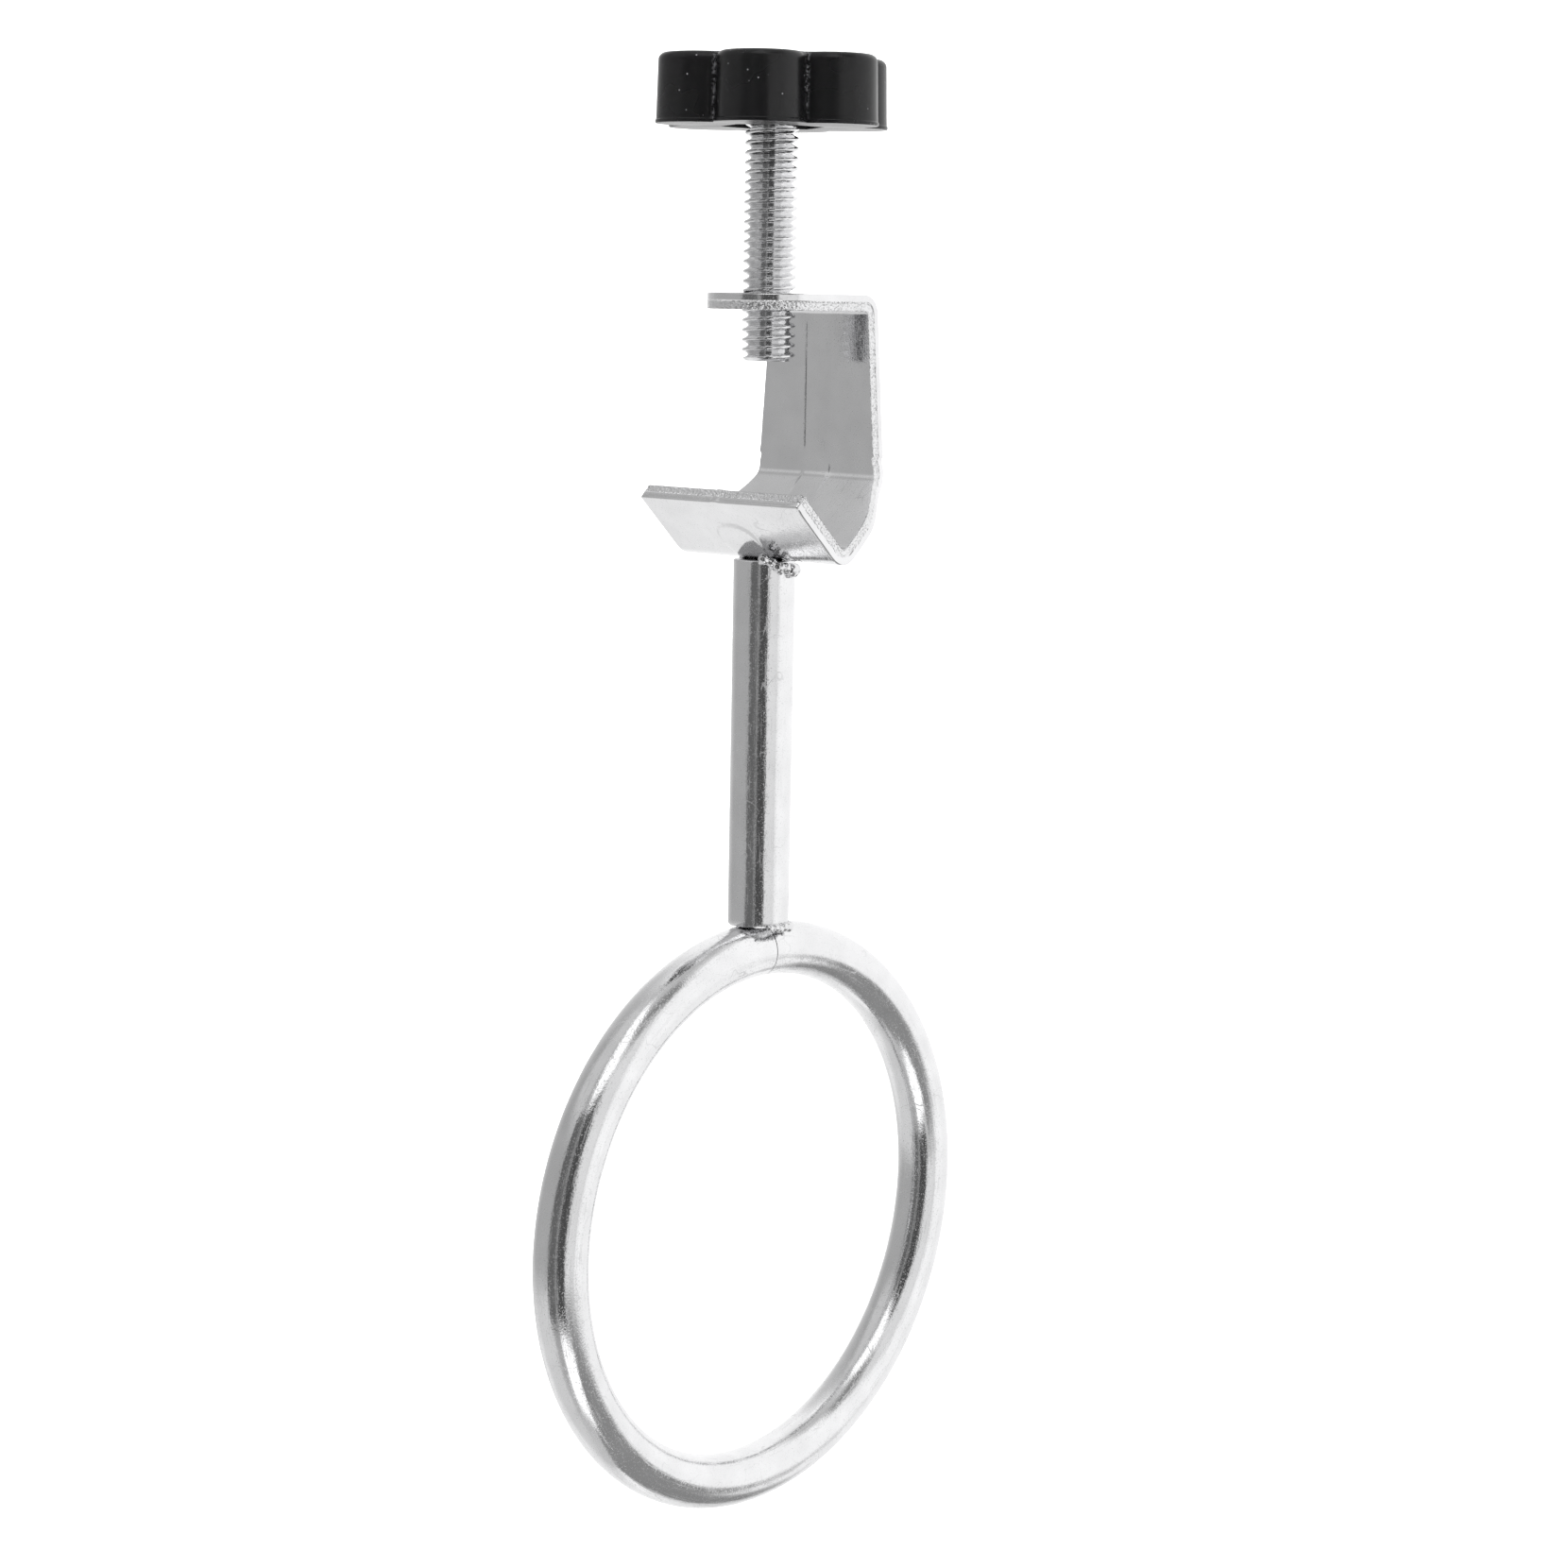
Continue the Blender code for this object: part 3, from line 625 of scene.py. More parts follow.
def build_hook_mesh(sizes, pitch):
    """The blank as two faces and its sheared edges, bent along the strip's path."""
    shape = HookShape(sizes)
    thick = sizes.sheet
    inset = 0.32 * MM
    points = []  # (distance, x, depth) on the flat blank
    broken = []
    faces = []

    def add_point(distance, x, depth, rough=0.0):
        points.append((distance, x, depth))
        broken.append(rough)
        return len(points) - 1

    def add_strip(first, second):
        for index in range(len(first) - 1):
            faces.append((first[index], first[index + 1], second[index + 1], second[index]))

    def add_rings(loops):
        for first, second in zip(loops, loops[1:]):
            add_strip(first + first[:1], second + second[:1])

    # Outline of the blank, anticlockwise from the left end of the first full row.
    lug_reach = 8.0 * MM
    spacing = 0.5 * MM
    rows = shape.strip.rows(shape.screw + lug_reach, spacing, 10)
    rows = [place for place in rows if place < shape.lip - spacing]
    rows += [shape.lip - spacing * (1 - math.sin(math.pi / 2 * step / 4)) for step in range(5)]
    last = len(rows) - 1
    left_side = [Vector((place, -shape.half_width(place, -1))) for place in rows]
    lip_row = [Vector((shape.lip, x)) for x in blank_columns(shape.half_width(shape.lip, 1))[1:-1]]
    right_side = [Vector((place, shape.half_width(place, 1))) for place in reversed(rows)]
    steps = 14
    sides = [shape.screw + lug_reach * (1 - step / steps) for step in range(1, steps)]
    lug_right = [Vector((place, shape.half_width(place, 1))) for place in sides]
    lug_round = [Vector((shape.screw - sizes.lug_end * math.sin(turn), sizes.lug_end * math.cos(turn)))
                 for turn in [math.pi * step / 48 for step in range(49)]]
    lug_left = [Vector((place, -shape.half_width(place, -1))) for place in reversed(sides)]
    outline = left_side + lip_row + right_side + lug_right + lug_round + lug_left
    normals = outline_normals(outline)

    # Sheared wall: (outset, depth, share of broken metal), inside face first.
    roll = sizes.die_roll
    profile = [(-0.09 * MM, 0.0, 0.0), (-0.03 * MM, 0.02 * MM, 0.3)]
    profile += [(0.0, thick * share, 1.0) for share in (0.05, 0.11, 0.18, 0.25, 0.32, 0.39, 0.46)]
    proud = 0.02 * MM
    profile += [(proud, thick * 0.52, 0.5), (proud, thick * 0.58, 0.0), (proud, thick * 0.74, 0.0)]
    profile += [(proud - roll * (1 - math.cos(math.pi / 2 * step / 5)),
                 thick - roll * (1 - math.sin(math.pi / 2 * step / 5)), 0.0) for step in range(6)]

    border = {}
    for level, depth in (("inside", 0.0), ("outside", thick)):
        border[level] = [add_point(*(point - normal * inset), depth)
                         for point, normal in zip(outline, normals)]
    wall = [border["inside"]]
    for outset, depth, rough in profile:
        loop = []
        for point, normal in zip(outline, normals):
            bite = noise.noise(Vector((point.x, point.y, depth)) / (0.45 * MM)) * 0.05 * MM * rough
            bite += noise.noise(Vector((point.x, point.y, 0.0)) / (1.6 * MM)) * 0.03 * MM
            # A short tab is left standing on the lip by the press.
            tab = soft_box(point.y, -1.3 * MM, 0.0, 0.15 * MM) if point.x > shape.lip - 0.1 * MM else 0.0
            # The near corner keeps a small torn burr.
            burr = soft_box(point.y, 13.8 * MM, 17 * MM, 0.4 * MM) if point.x > shape.lip - 1.4 * MM else 0.0
            torn = (0.3 + noise.noise(Vector((point.x, point.y, depth)) / (0.5 * MM))) * burr
            place = point + normal * (outset + bite - 0.04 * MM * rough + (0.1 * tab + 0.25 * torn) * MM)
            loop.append(add_point(place.x, place.y, depth, rough))
        wall.append(loop)
    wall.append(border["outside"])
    add_rings(wall)

    # Both faces: a grid for the strip and rings around the screw hole for the lug.
    hole = sizes.hole_radius
    right_start = len(left_side) + len(lip_row)
    for level, depth in (("inside", 0.0), ("outside", thick)):
        edge = border[level]
        grid = []
        for number, place in enumerate(rows):
            low = edge[number]
            high = edge[right_start + last - number]
            if number == last:
                middle = edge[len(left_side):right_start]
            else:
                middle = [add_point(points[high][0], x, depth)
                          for x in uneven_columns(-points[low][1], points[high][1])[1:-1]]
            grid.append([low] + middle + [high])
        for first, second in zip(grid, grid[1:]):
            add_strip(first, second)
        outer = grid[0] + edge[right_start + last + 1:]
        rings = [outer]
        for share in (0.82, 0.64, 0.48, 0.34, 0.22, 0.11, 0.0):
            ring = []
            for index in outer:
                across = Vector((points[index][0] - shape.screw, points[index][1]))
                near = across.normalized() * (hole + 0.25 * MM)
                spot = near.lerp(across, share)
                ring.append(add_point(spot.x + shape.screw, spot.y, depth))
            rings.append(ring)
        add_rings(rings)
        border[level + " hole"] = rings[-1]

    # The hole: a small countersink at each face and a thread that takes the bolt.
    headings = [math.atan2(points[index][0] - shape.screw, points[index][1])
                for index in border["inside hole"]]
    hole_wall = [border["inside hole"]]
    ridge = 3.14 * MM
    groove = 0.86 * MM
    wall_rows = 26
    for step in range(wall_rows + 1):
        depth = thick * step / wall_rows
        loop = []
        for heading in headings:
            bolt_heading = math.atan2(math.sin(heading), math.cos(heading))
            radius = ridge + groove * (1 - thread_share(shape.lug_z + depth, bolt_heading, pitch))
            mouth = hole - min(depth, thick - depth) * 1.2
            radius = max(radius, mouth)
            loop.append(add_point(shape.screw + radius * math.sin(heading),
                                  radius * math.cos(heading), depth))
        hole_wall.append(loop)
    hole_wall.append(border["outside hole"])
    add_rings(hole_wall)

    placed = []
    for distance, x, depth in points:
        spot, outward = shape.strip.at(min(max(distance, 0.0), shape.lip))
        if distance > shape.lip:
            spot = spot + shape.strip.runs[-1].into * (distance - shape.lip)
        if distance < 0:
            spot = spot + shape.strip.runs[0].into * distance
        spot = spot + outward * (depth + shape.rib(distance, x))
        placed.append((x, spot.x, spot.y))
    mesh = mesh_from_lists("hook_bracket_plated", placed, faces)
    store_vectors(mesh, "blank", [(x, depth, distance) for distance, x, depth in points])
    store_numbers(mesh, "broken", broken)
    smooth_mesh(mesh, 50)
    return mesh


class SUPPORT_RING_OT_hook(bpy.types.Operator):
    """Build the bent hook bracket with its pressed rib and sheared edges"""

    bl_idname = "support_ring.hook"
    bl_label = "Hook bracket"

    def execute(self, context):
        finishes = context.scene.ring_finishes
        mesh = build_hook_mesh(context.scene.ring_hook, context.scene.ring_bolt.pitch)
        material = sheared_zinc_sheet("bright zinc on sheet steel", finishes.zinc, finishes.shear)
        settle(new_piece("hook_bracket_plated", mesh, material), "frame", "zinc_sheet", "hook_bracket")
        return {"FINISHED"}


# ---------------------------------------------------------------- rod and ring

def tube_grid(name, rows, around):
    """A closed turned bar from (radius, height) rows."""
    points = []
    for radius, height in rows:
        for step in range(around):
            heading = math.tau * step / around
            points.append((radius * math.cos(heading), radius * math.sin(heading), height))
    mesh = mesh_from_lists(name, points, stacked_faces(len(rows), around))
    smooth_mesh(mesh, 30)
    return mesh


class SUPPORT_RING_OT_handle(bpy.types.Operator):
    """Build the straight rod between the hook and the ring"""

    bl_idname = "support_ring.handle"
    bl_label = "Handle rod"

    def execute(self, context):
        sizes = context.scene.ring_rods
        into_ring = 0.08 * MM
        into_hook = 0.40 * MM
        low = RING_HIGH.z - into_ring
        high = HOOK_LOW.z + into_hook
        radius = sizes.handle_radius
        edge = sizes.cut_edge
        rows = [(radius * share, high) for share in (0.3, 0.7)]
        rows += [(radius - edge, high), (radius - edge * 0.3, high - edge * 0.3), (radius, high - edge)]
        steps = 60
        rows += [(radius, high - edge + (low - high + 2 * edge) * step / steps) for step in range(1, steps)]
        rows += [(radius, low + edge), (radius - edge * 0.3, low + edge * 0.3), (radius - edge, low)]
        rows += [(radius * share, low) for share in (0.7, 0.3)]
        mesh = tube_grid("handle_rod_plated", rows, 96)
        material = bright_zinc("bright zinc on drawn rod", context.scene.ring_finishes.zinc, "")
        settle(new_piece("handle_rod_plated", mesh, material), "frame", "zinc_rod", "handle_rod")
        return {"FINISHED"}


def ring_tree(material):
    """An open hoop of round rod whose two ends meet, rounded, in a butt joint."""
    tree, given = geometry_tree("bent_ring", [
        ("Bend Radius", "NodeSocketFloat"), ("Rod Radius", "NodeSocketFloat"),
        ("Seam", "NodeSocketFloat"), ("Seam Edge", "NodeSocketFloat"),
        ("Centre Height", "NodeSocketFloat")])
    gap = calc(tree, "DIVIDE", given["Seam"], given["Bend Radius"])
    sweep = calc(tree, "SUBTRACT", math.tau, gap)
    hoop = add_node(tree, "GeometryNodeCurveArc", {
        "Resolution": 1241, "Radius": given["Bend Radius"],
        "Start Angle": calc(tree, "MULTIPLY", gap, 0.5), "Sweep Angle": sweep})
    # Near each end the rod narrows by the rounding of its cut edge.
    travelled = add_node(tree, "GeometryNodeSplineParameter").outputs["Length"]
    left = calc(tree, "SUBTRACT", calc(tree, "MULTIPLY", sweep, given["Bend Radius"]), travelled)
    nearest = calc(tree, "MINIMUM", travelled, left)
    lost = calc(tree, "MAXIMUM", calc(tree, "SUBTRACT", given["Seam Edge"], nearest), 0.0)
    narrowed = calc(tree, "SUBTRACT", 1.0, calc(tree, "DIVIDE", lost, given["Rod Radius"]))
    marked = store_named(tree, hoop.outputs[0], "along", travelled, "FLOAT")
    section = add_node(tree, "GeometryNodeCurvePrimitiveCircle", {
        "Resolution": 56, "Radius": given["Rod Radius"]})
    around = add_node(tree, "GeometryNodeInputPosition").outputs[0]
    ringed = store_named(tree, section.outputs[0], "section", around, "FLOAT_VECTOR")
    sized = add_node(tree, "GeometryNodeSetCurveRadius", {0: marked, 2: narrowed})
    bar = add_node(tree, "GeometryNodeCurveToMesh", {0: sized.outputs[0], "Profile Curve": ringed,
                                                     "Fill Caps": True})
    # The place on the straight bar before it was bent: section across, distance along.
    along = add_node(tree, "GeometryNodeInputNamedAttribute", {"Name": "along"}, data_type="FLOAT")
    across = add_node(tree, "GeometryNodeInputNamedAttribute", {"Name": "section"}, data_type="FLOAT_VECTOR")
    split = add_node(tree, "ShaderNodeSeparateXYZ", {0: across.outputs[0]})
    place = add_node(tree, "ShaderNodeCombineXYZ", {
        0: split.outputs[0], 1: split.outputs[1], 2: along.outputs[0]})
    kept = store_named(tree, bar.outputs[0], "bar", place.outputs[0], "FLOAT_VECTOR")
    lift = add_node(tree, "ShaderNodeCombineXYZ", {2: given["Centre Height"]})
    stood = add_node(tree, "GeometryNodeTransform", {
        "Geometry": kept, "Translation": lift.outputs[0], "Rotation": (0.0, -math.pi / 2, 0.0)})
    finish_tree(tree, stood.outputs[0], material)
    return tree


class SUPPORT_RING_OT_ring(bpy.types.Operator):
    """Build the bent ring with its butt joint under the handle"""

    bl_idname = "support_ring.ring"
    bl_label = "Support ring"

    def execute(self, context):
        sizes = context.scene.ring_rods
        material = bright_zinc("bright zinc on bent rod", context.scene.ring_finishes.zinc, "bar")
        mesh = mesh_from_tree("support_ring_plated", ring_tree(material), {
            "Bend Radius": sizes.ring_outer - sizes.ring_rod,
            "Rod Radius": sizes.ring_rod,
            "Seam": sizes.seam,
            "Seam Edge": sizes.seam_edge,
            "Centre Height": (RING_LOW.z + RING_HIGH.z) / 2,
        })
        face_outwards(mesh, merge=0.001 * MM)
        smooth_mesh(mesh, 40)
        settle(new_piece("support_ring_plated", mesh, material), "frame", "zinc_rod", "support_ring")
        return {"FINISHED"}


# ---------------------------------------------------------------- weld beads

def weld_lumps(rng, bead, radius, top, heading, span, drop, count, climb):
    """Lumps of a short weld run around a rod: (centre, radius) pairs.

    climb lifts each lump with its distance from the XZ plane, up into the V.
    """
    lumps = []
    for step in range(count):
        share = step / (count - 1)
        turn = heading + span * (share - 0.5) + rng.uniform(-0.05, 0.05)
        size = bead * rng.uniform(0.75, 1.3)
        out = radius + size * rng.uniform(0.1, 0.4)
        height = top - size * 0.4 - drop * share - rng.uniform(0.0, 0.4) * bead
        height += climb * abs(out * math.sin(turn))
        lumps.append((Vector((out * math.cos(turn), out * math.sin(turn), height)), size))
        if rng.random() < 0.6:
            small = bead * rng.uniform(0.35, 0.6)
            turn += rng.uniform(-0.1, 0.1)
            reach = radius + small * rng.uniform(0.2, 0.6)
            lower = height - size * rng.uniform(0.5, 0.95)
            lumps.append((Vector((reach * math.cos(turn), reach * math.sin(turn), lower)), small))
    return lumps


def build_weld(name, lumps, material):
    """Melt lumps into one bead with a puckered skin."""
    bm = bmesh.new()
    for centre, size in lumps:
        bmesh.ops.create_icosphere(bm, subdivisions=3, radius=size, matrix=Matrix.Translation(centre))
    bead = new_piece(name, mesh_from_bm(name, bm), material)
    melt = bead.modifiers.new("melt", "REMESH")
    melt.mode = "VOXEL"
    melt.voxel_size = 0.11 * MM
    soften = bead.modifiers.new("soften", "SMOOTH")
    soften.factor = 0.5
    soften.iterations = 18
    bake_modifiers(bead)
    for vertex in bead.data.vertices:
        push = noise.noise(vertex.co / (0.6 * MM)) * 0.06 + noise.noise(vertex.co / (0.3 * MM)) * 0.015
        vertex.co += vertex.normal * push * MM
    bead.data.shade_smooth()
    return bead


class SUPPORT_RING_OT_welds(bpy.types.Operator):
    """Build the four tack welds at the ends of the handle rod"""

    bl_idname = "support_ring.welds"
    bl_label = "Weld beads"

    def execute(self, context):
        sizes = context.scene.ring_rods
        rng = random.Random(7)
        material = bright_zinc("bright zinc on weld metal", context.scene.ring_finishes.weld, "",
                               grain=0.3 * MM, stretch=(1.0, 1.0, 1.0), clean=0.05, dull=0.2, depth=0.3)
        radius = sizes.handle_radius
        top = HOOK_LOW.z + 0.35 * MM
        low = ROD_LOW.z - 0.1 * MM
        runs = (
            ("hook_weld_near", 1.3, top, -14.0, 70.0, 1.0 * MM, 6, 0.2),
            ("hook_weld_far", 1.1, top, 145.0, 56.0, 0.0, 7, 0.45),
            ("ring_weld_near", 0.8, low, 6.0, 68.0, 0.2 * MM, 7, 0.0),
            ("ring_weld_far", 0.9, low, 152.0, 56.0, 0.0, 6, 0.0),
        )
        for node, scale, height, heading, span, drop, count, climb in runs:
            lumps = weld_lumps(rng, sizes.bead * scale, radius, height, math.radians(heading),
                               math.radians(span), drop, count, climb)
            bead = build_weld(node + "_bead", lumps, material)
            settle(bead, "frame", "zinc_weld", node)
        return {"FINISHED"}


# ---------------------------------------------------------------- clamp bolt

def thread_tree(material):
    """A rolled thread: a grid wrapped round the bolt's axis, its radius set by the thread's phase."""
    tree, given = geometry_tree("rolled_thread", [
        ("Outer Radius", "NodeSocketFloat"), ("Thread Depth", "NodeSocketFloat"),
        ("Pitch", "NodeSocketFloat"), ("Low", "NodeSocketFloat"), ("High", "NodeSocketFloat"),
        ("Tip Chamfer", "NodeSocketFloat"), ("Around", "NodeSocketInt"), ("Rows", "NodeSocketInt")])
    sheet = add_node(tree, "GeometryNodeMeshGrid", {
        "Size X": 1.0, "Size Y": 1.0, "Vertices X": given["Around"], "Vertices Y": given["Rows"]})
    at = add_node(tree, "ShaderNodeSeparateXYZ", {0: add_node(tree, "GeometryNodeInputPosition").outputs[0]})
    turn = calc(tree, "ADD", at.outputs[0], 0.5)
    share = calc(tree, "ADD", at.outputs[1], 0.5)
    height = remap(tree, share, 0.0, 1.0, given["Low"], given["High"])
    lag = calc(tree, "SUBTRACT", calc(tree, "DIVIDE", height, given["Pitch"]), turn)
    centred = calc(tree, "MULTIPLY_ADD", calc(tree, "FRACT", lag), 2.0, -1.0)
    # Rolled threads have round crests and rounder roots.
    sunk = remap(tree, calc(tree, "ABSOLUTE", centred), 0.10, 1.0, interpolation_type="SMOOTHSTEP")
    cut = calc(tree, "MULTIPLY", sunk, given["Thread Depth"])
    formed = calc(tree, "SUBTRACT", given["Outer Radius"], cut)
    # A cone at the tip limits the radius.
    above = calc(tree, "SUBTRACT", height, given["Low"])
    cone = calc(tree, "SUBTRACT", given["Outer Radius"], given["Tip Chamfer"])
    radius = calc(tree, "MINIMUM", formed, calc(tree, "ADD", cone, above))
    heading = calc(tree, "MULTIPLY", turn, math.tau)
    x = calc(tree, "MULTIPLY", calc(tree, "COSINE", heading), radius)
    y = calc(tree, "MULTIPLY", calc(tree, "SINE", heading), radius)
    spot = add_node(tree, "ShaderNodeCombineXYZ", {0: x, 1: y, 2: height})
    wrapped = add_node(tree, "GeometryNodeSetPosition", {
        "Geometry": sheet.outputs[0], "Position": spot.outputs[0]})
    closed = add_node(tree, "GeometryNodeMergeByDistance", {"Geometry": wrapped.outputs[0],
                                                            "Distance": 0.002 * MM})
    finish_tree(tree, closed.outputs[0], material)
    return tree


def extend_rim(bm, above, rows):
    """Continue an open rim by rings of faces, and close it on the axis.

    Each row is (radius at a heading, height).
    """
    middle = sum(vert.co.z for vert in bm.verts) / len(bm.verts)
    rim = [edge for edge in bm.edges if edge.is_boundary and (edge.verts[0].co.z > middle) == above]
    for radius_at, height in rows:
        made = bmesh.ops.extrude_edge_only(bm, edges=rim)["geom"]
        fresh = {item for item in made if isinstance(item, bmesh.types.BMVert)}
        for vert in fresh:
            heading = math.atan2(vert.co.y, vert.co.x)
            radius = radius_at(heading)
            vert.co = (radius * math.cos(heading), radius * math.sin(heading), height)
        rim = [item for item in made if isinstance(item, bmesh.types.BMEdge)
               and item.verts[0] in fresh and item.verts[1] in fresh]
    bmesh.ops.contextual_create(bm, geom=rim)


def build_bolt_mesh(sizes, material):
    """The threaded shank from its tree, closed by a chamfered tip, a hex head and the bore."""
    shank_high = BOLT_HIGH.z - sizes.head_height
    depth = 0.61343 * sizes.pitch
    mesh = mesh_from_tree("clamp_bolt_plated", thread_tree(material), {
        "Outer Radius": sizes.outer_radius, "Thread Depth": depth, "Pitch": sizes.pitch,
        "Low": BOLT_LOW.z, "High": shank_high, "Tip Chamfer": sizes.tip_chamfer,
        "Around": 73, "Rows": 420})
    bm = bmesh.new()
    bm.from_mesh(mesh)

    def round_at(radius):
        return lambda heading: radius

    def hex_at(scale):
        half = math.pi / 6
        return lambda heading: scale * sizes.head_flats / 2 / math.cos((heading + half) % (2 * half) - half)

    top = BOLT_HIGH.z
    extend_rim(bm, False, [(round_at(2.0 * MM), BOLT_LOW.z), (round_at(0.8 * MM), BOLT_LOW.z)])
    extend_rim(bm, True, [
        (round_at(sizes.outer_radius), shank_high), (round_at(5.8 * MM), shank_high),
        (hex_at(1.0), shank_high + 0.3 * MM), (hex_at(1.0), top - 0.7 * MM), (round_at(6.0 * MM), top),
        (round_at(sizes.bore), top), (round_at(sizes.bore), CORE_LOW.z - 0.3 * MM),
        (round_at(0.8 * MM), CORE_LOW.z - 0.3 * MM)])
    bmesh.ops.recalc_face_normals(bm, faces=bm.faces)
    bm.to_mesh(mesh)
    bm.free()
    smooth_mesh(mesh, 32)
    return mesh


class SUPPORT_RING_OT_bolt(bpy.types.Operator):
    """Build the threaded clamp bolt and dress its core pin"""

    bl_idname = "support_ring.bolt"
    bl_label = "Clamp bolt"

    def execute(self, context):
        finishes = context.scene.ring_finishes
        material = bright_zinc("bright zinc on rolled thread", finishes.zinc, "", grain=0.3 * MM,
                               stretch=(0.5, 0.5, 1.0), clean=0.08, dull=0.3, depth=0.25)
        mesh = build_bolt_mesh(context.scene.ring_bolt, material)
        settle(new_piece("clamp_bolt_plated", mesh, material), "bolt_and_knob", "zinc_bolt", "clamp_bolt")
        plain = bright_zinc("turned plain steel", finishes.steel, "", stretch=(1.0, 1.0, 0.3), clean=0.3)
        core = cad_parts["clamp_bolt_core"]
        core.data.materials.clear()
        core.data.materials.append(plain)
        return {"FINISHED"}


# ---------------------------------------------------------------- knob

def star_outline(sizes, around):
    """Points and outward normals of the star outline, with softly filled valleys."""
    step = math.tau / sizes.lobes
    sharp = 9.0 / MM
    points = []
    for index in range(around):
        heading = math.tau * index / around + sizes.phase
        nearest = round((heading - sizes.phase) / step)
        reach = []
        for lobe in (nearest - 1, nearest, nearest + 1):
            away = heading - sizes.phase - lobe * step
            under = sizes.lobe_radius ** 2 - (sizes.lobe_centre * math.sin(away)) ** 2
            if under > 0:
                reach.append(sizes.lobe_centre * math.cos(away) + math.sqrt(under))
        longest = max(reach)
        radius = longest + math.log(sum(math.exp((value - longest) * sharp) for value in reach)) / sharp
        points.append(Vector((radius * math.cos(heading), radius * math.sin(heading))))
    return points, outline_normals(points)


def build_knob_mesh(sizes):
    """Stack of star outlines: small foot, drafted wall, round upper edge and a flat top."""
    per_lobe = 60
    around = sizes.lobes * per_lobe
    outline, normals = star_outline(sizes, around)
    low, high = KNOB_LOW.z, KNOB_HIGH.z
    tall = high - low
    foot = 0.12 * MM
    rows = [(0.10 * MM, low), (0.0, low + 0.10 * MM), (0.0, low + 0.45 * MM), (foot, low + 0.6 * MM)]
    rows += [(foot + sizes.draft * share, low + tall * share) for share in (0.15, 0.3, 0.45, 0.6, 0.75)]
    wall_top = high - sizes.edge
    lean = foot + sizes.draft * (wall_top - low) / tall
    rows += [(lean + sizes.edge * (1 - math.cos(math.pi / 2 * step / 8)),
              wall_top + sizes.edge * math.sin(math.pi / 2 * step / 8)) for step in range(9)]
    last = rows[-1][0]
    dish = 0.25 * MM
    # (offset, scale, height) of every loop from the underside's middle to the top's middle
    loops = [(rows[0][0], share, low) for share in (0.3, 0.8)]
    loops += [(offset, 1.0, height) for offset, height in rows]
    loops += [(last, share, high - drop) for share, drop in
              ((0.93, 0.0), (0.6, 0.0), (0.2, 0.0), (0.17, dish), (0.05, dish))]
    points = []
    for offset, scale, height in loops:
        for point, normal in zip(outline, normals):
            place = (point - normal * offset) * scale
            points.append((place.x, place.y, height))
    mesh = mesh_from_lists("knob_moulded", points, stacked_faces(len(loops), around))
    # The valley mark carries the knob material's painted highlight line and dust specks. A valley's bottom
    # is half a lobe from each lobe's middle.
    store_numbers(mesh, "valley", [1.0 if index % per_lobe == per_lobe // 2 else 0.0
                                   for index in range(len(points))])
    return mesh


class SUPPORT_RING_OT_knob(bpy.types.Operator):
    """Build the moulded star knob with the socket for the bolt's head"""

    bl_idname = "support_ring.knob"
    bl_label = "Star knob"

    def execute(self, context):
        sizes = context.scene.ring_knob
        bolt = context.scene.ring_bolt
        finishes = context.scene.ring_finishes
        material = moulded_plastic("moulded black plastic", finishes.plastic, finishes.plastic_dust_and_highlight)
        knob = new_piece("knob_moulded", build_knob_mesh(sizes), material)
        socket_radius = (bolt.head_flats / 2 + 0.3 * MM) / math.cos(math.pi / 6)
        bm = bmesh.new()
        low = KNOB_LOW.z - MM
        high = BOLT_HIGH.z + 0.3 * MM
        bmesh.ops.create_cone(bm, cap_ends=True, segments=6, radius1=socket_radius, radius2=socket_radius,
                              depth=high - low, matrix=Matrix.Translation((0, 0, (low + high) / 2)))
        socket = bpy.data.objects.new("socket", mesh_from_bm("socket", bm))
        context.scene.collection.objects.link(socket)
        cut = knob.modifiers.new("socket", "BOOLEAN")
        cut.solver = "EXACT"
        cut.object = socket
        bake_modifiers(knob)
        bpy.data.objects.remove(socket)
        smooth_mesh(knob.data, 35)
        settle(knob, "bolt_and_knob", "black_plastic", "knob")
        return {"FINISHED"}


# ---------------------------------------------------------------- stage

def soft_box(value, low, high, soft):
    """1 between two bounds and 0 outside, with soft edges."""
    rise = min(max((value - low) / soft + 0.5, 0.0), 1.0)
    fall = min(max((high - value) / soft + 0.5, 0.0), 1.0)
    return min(rise, fall)


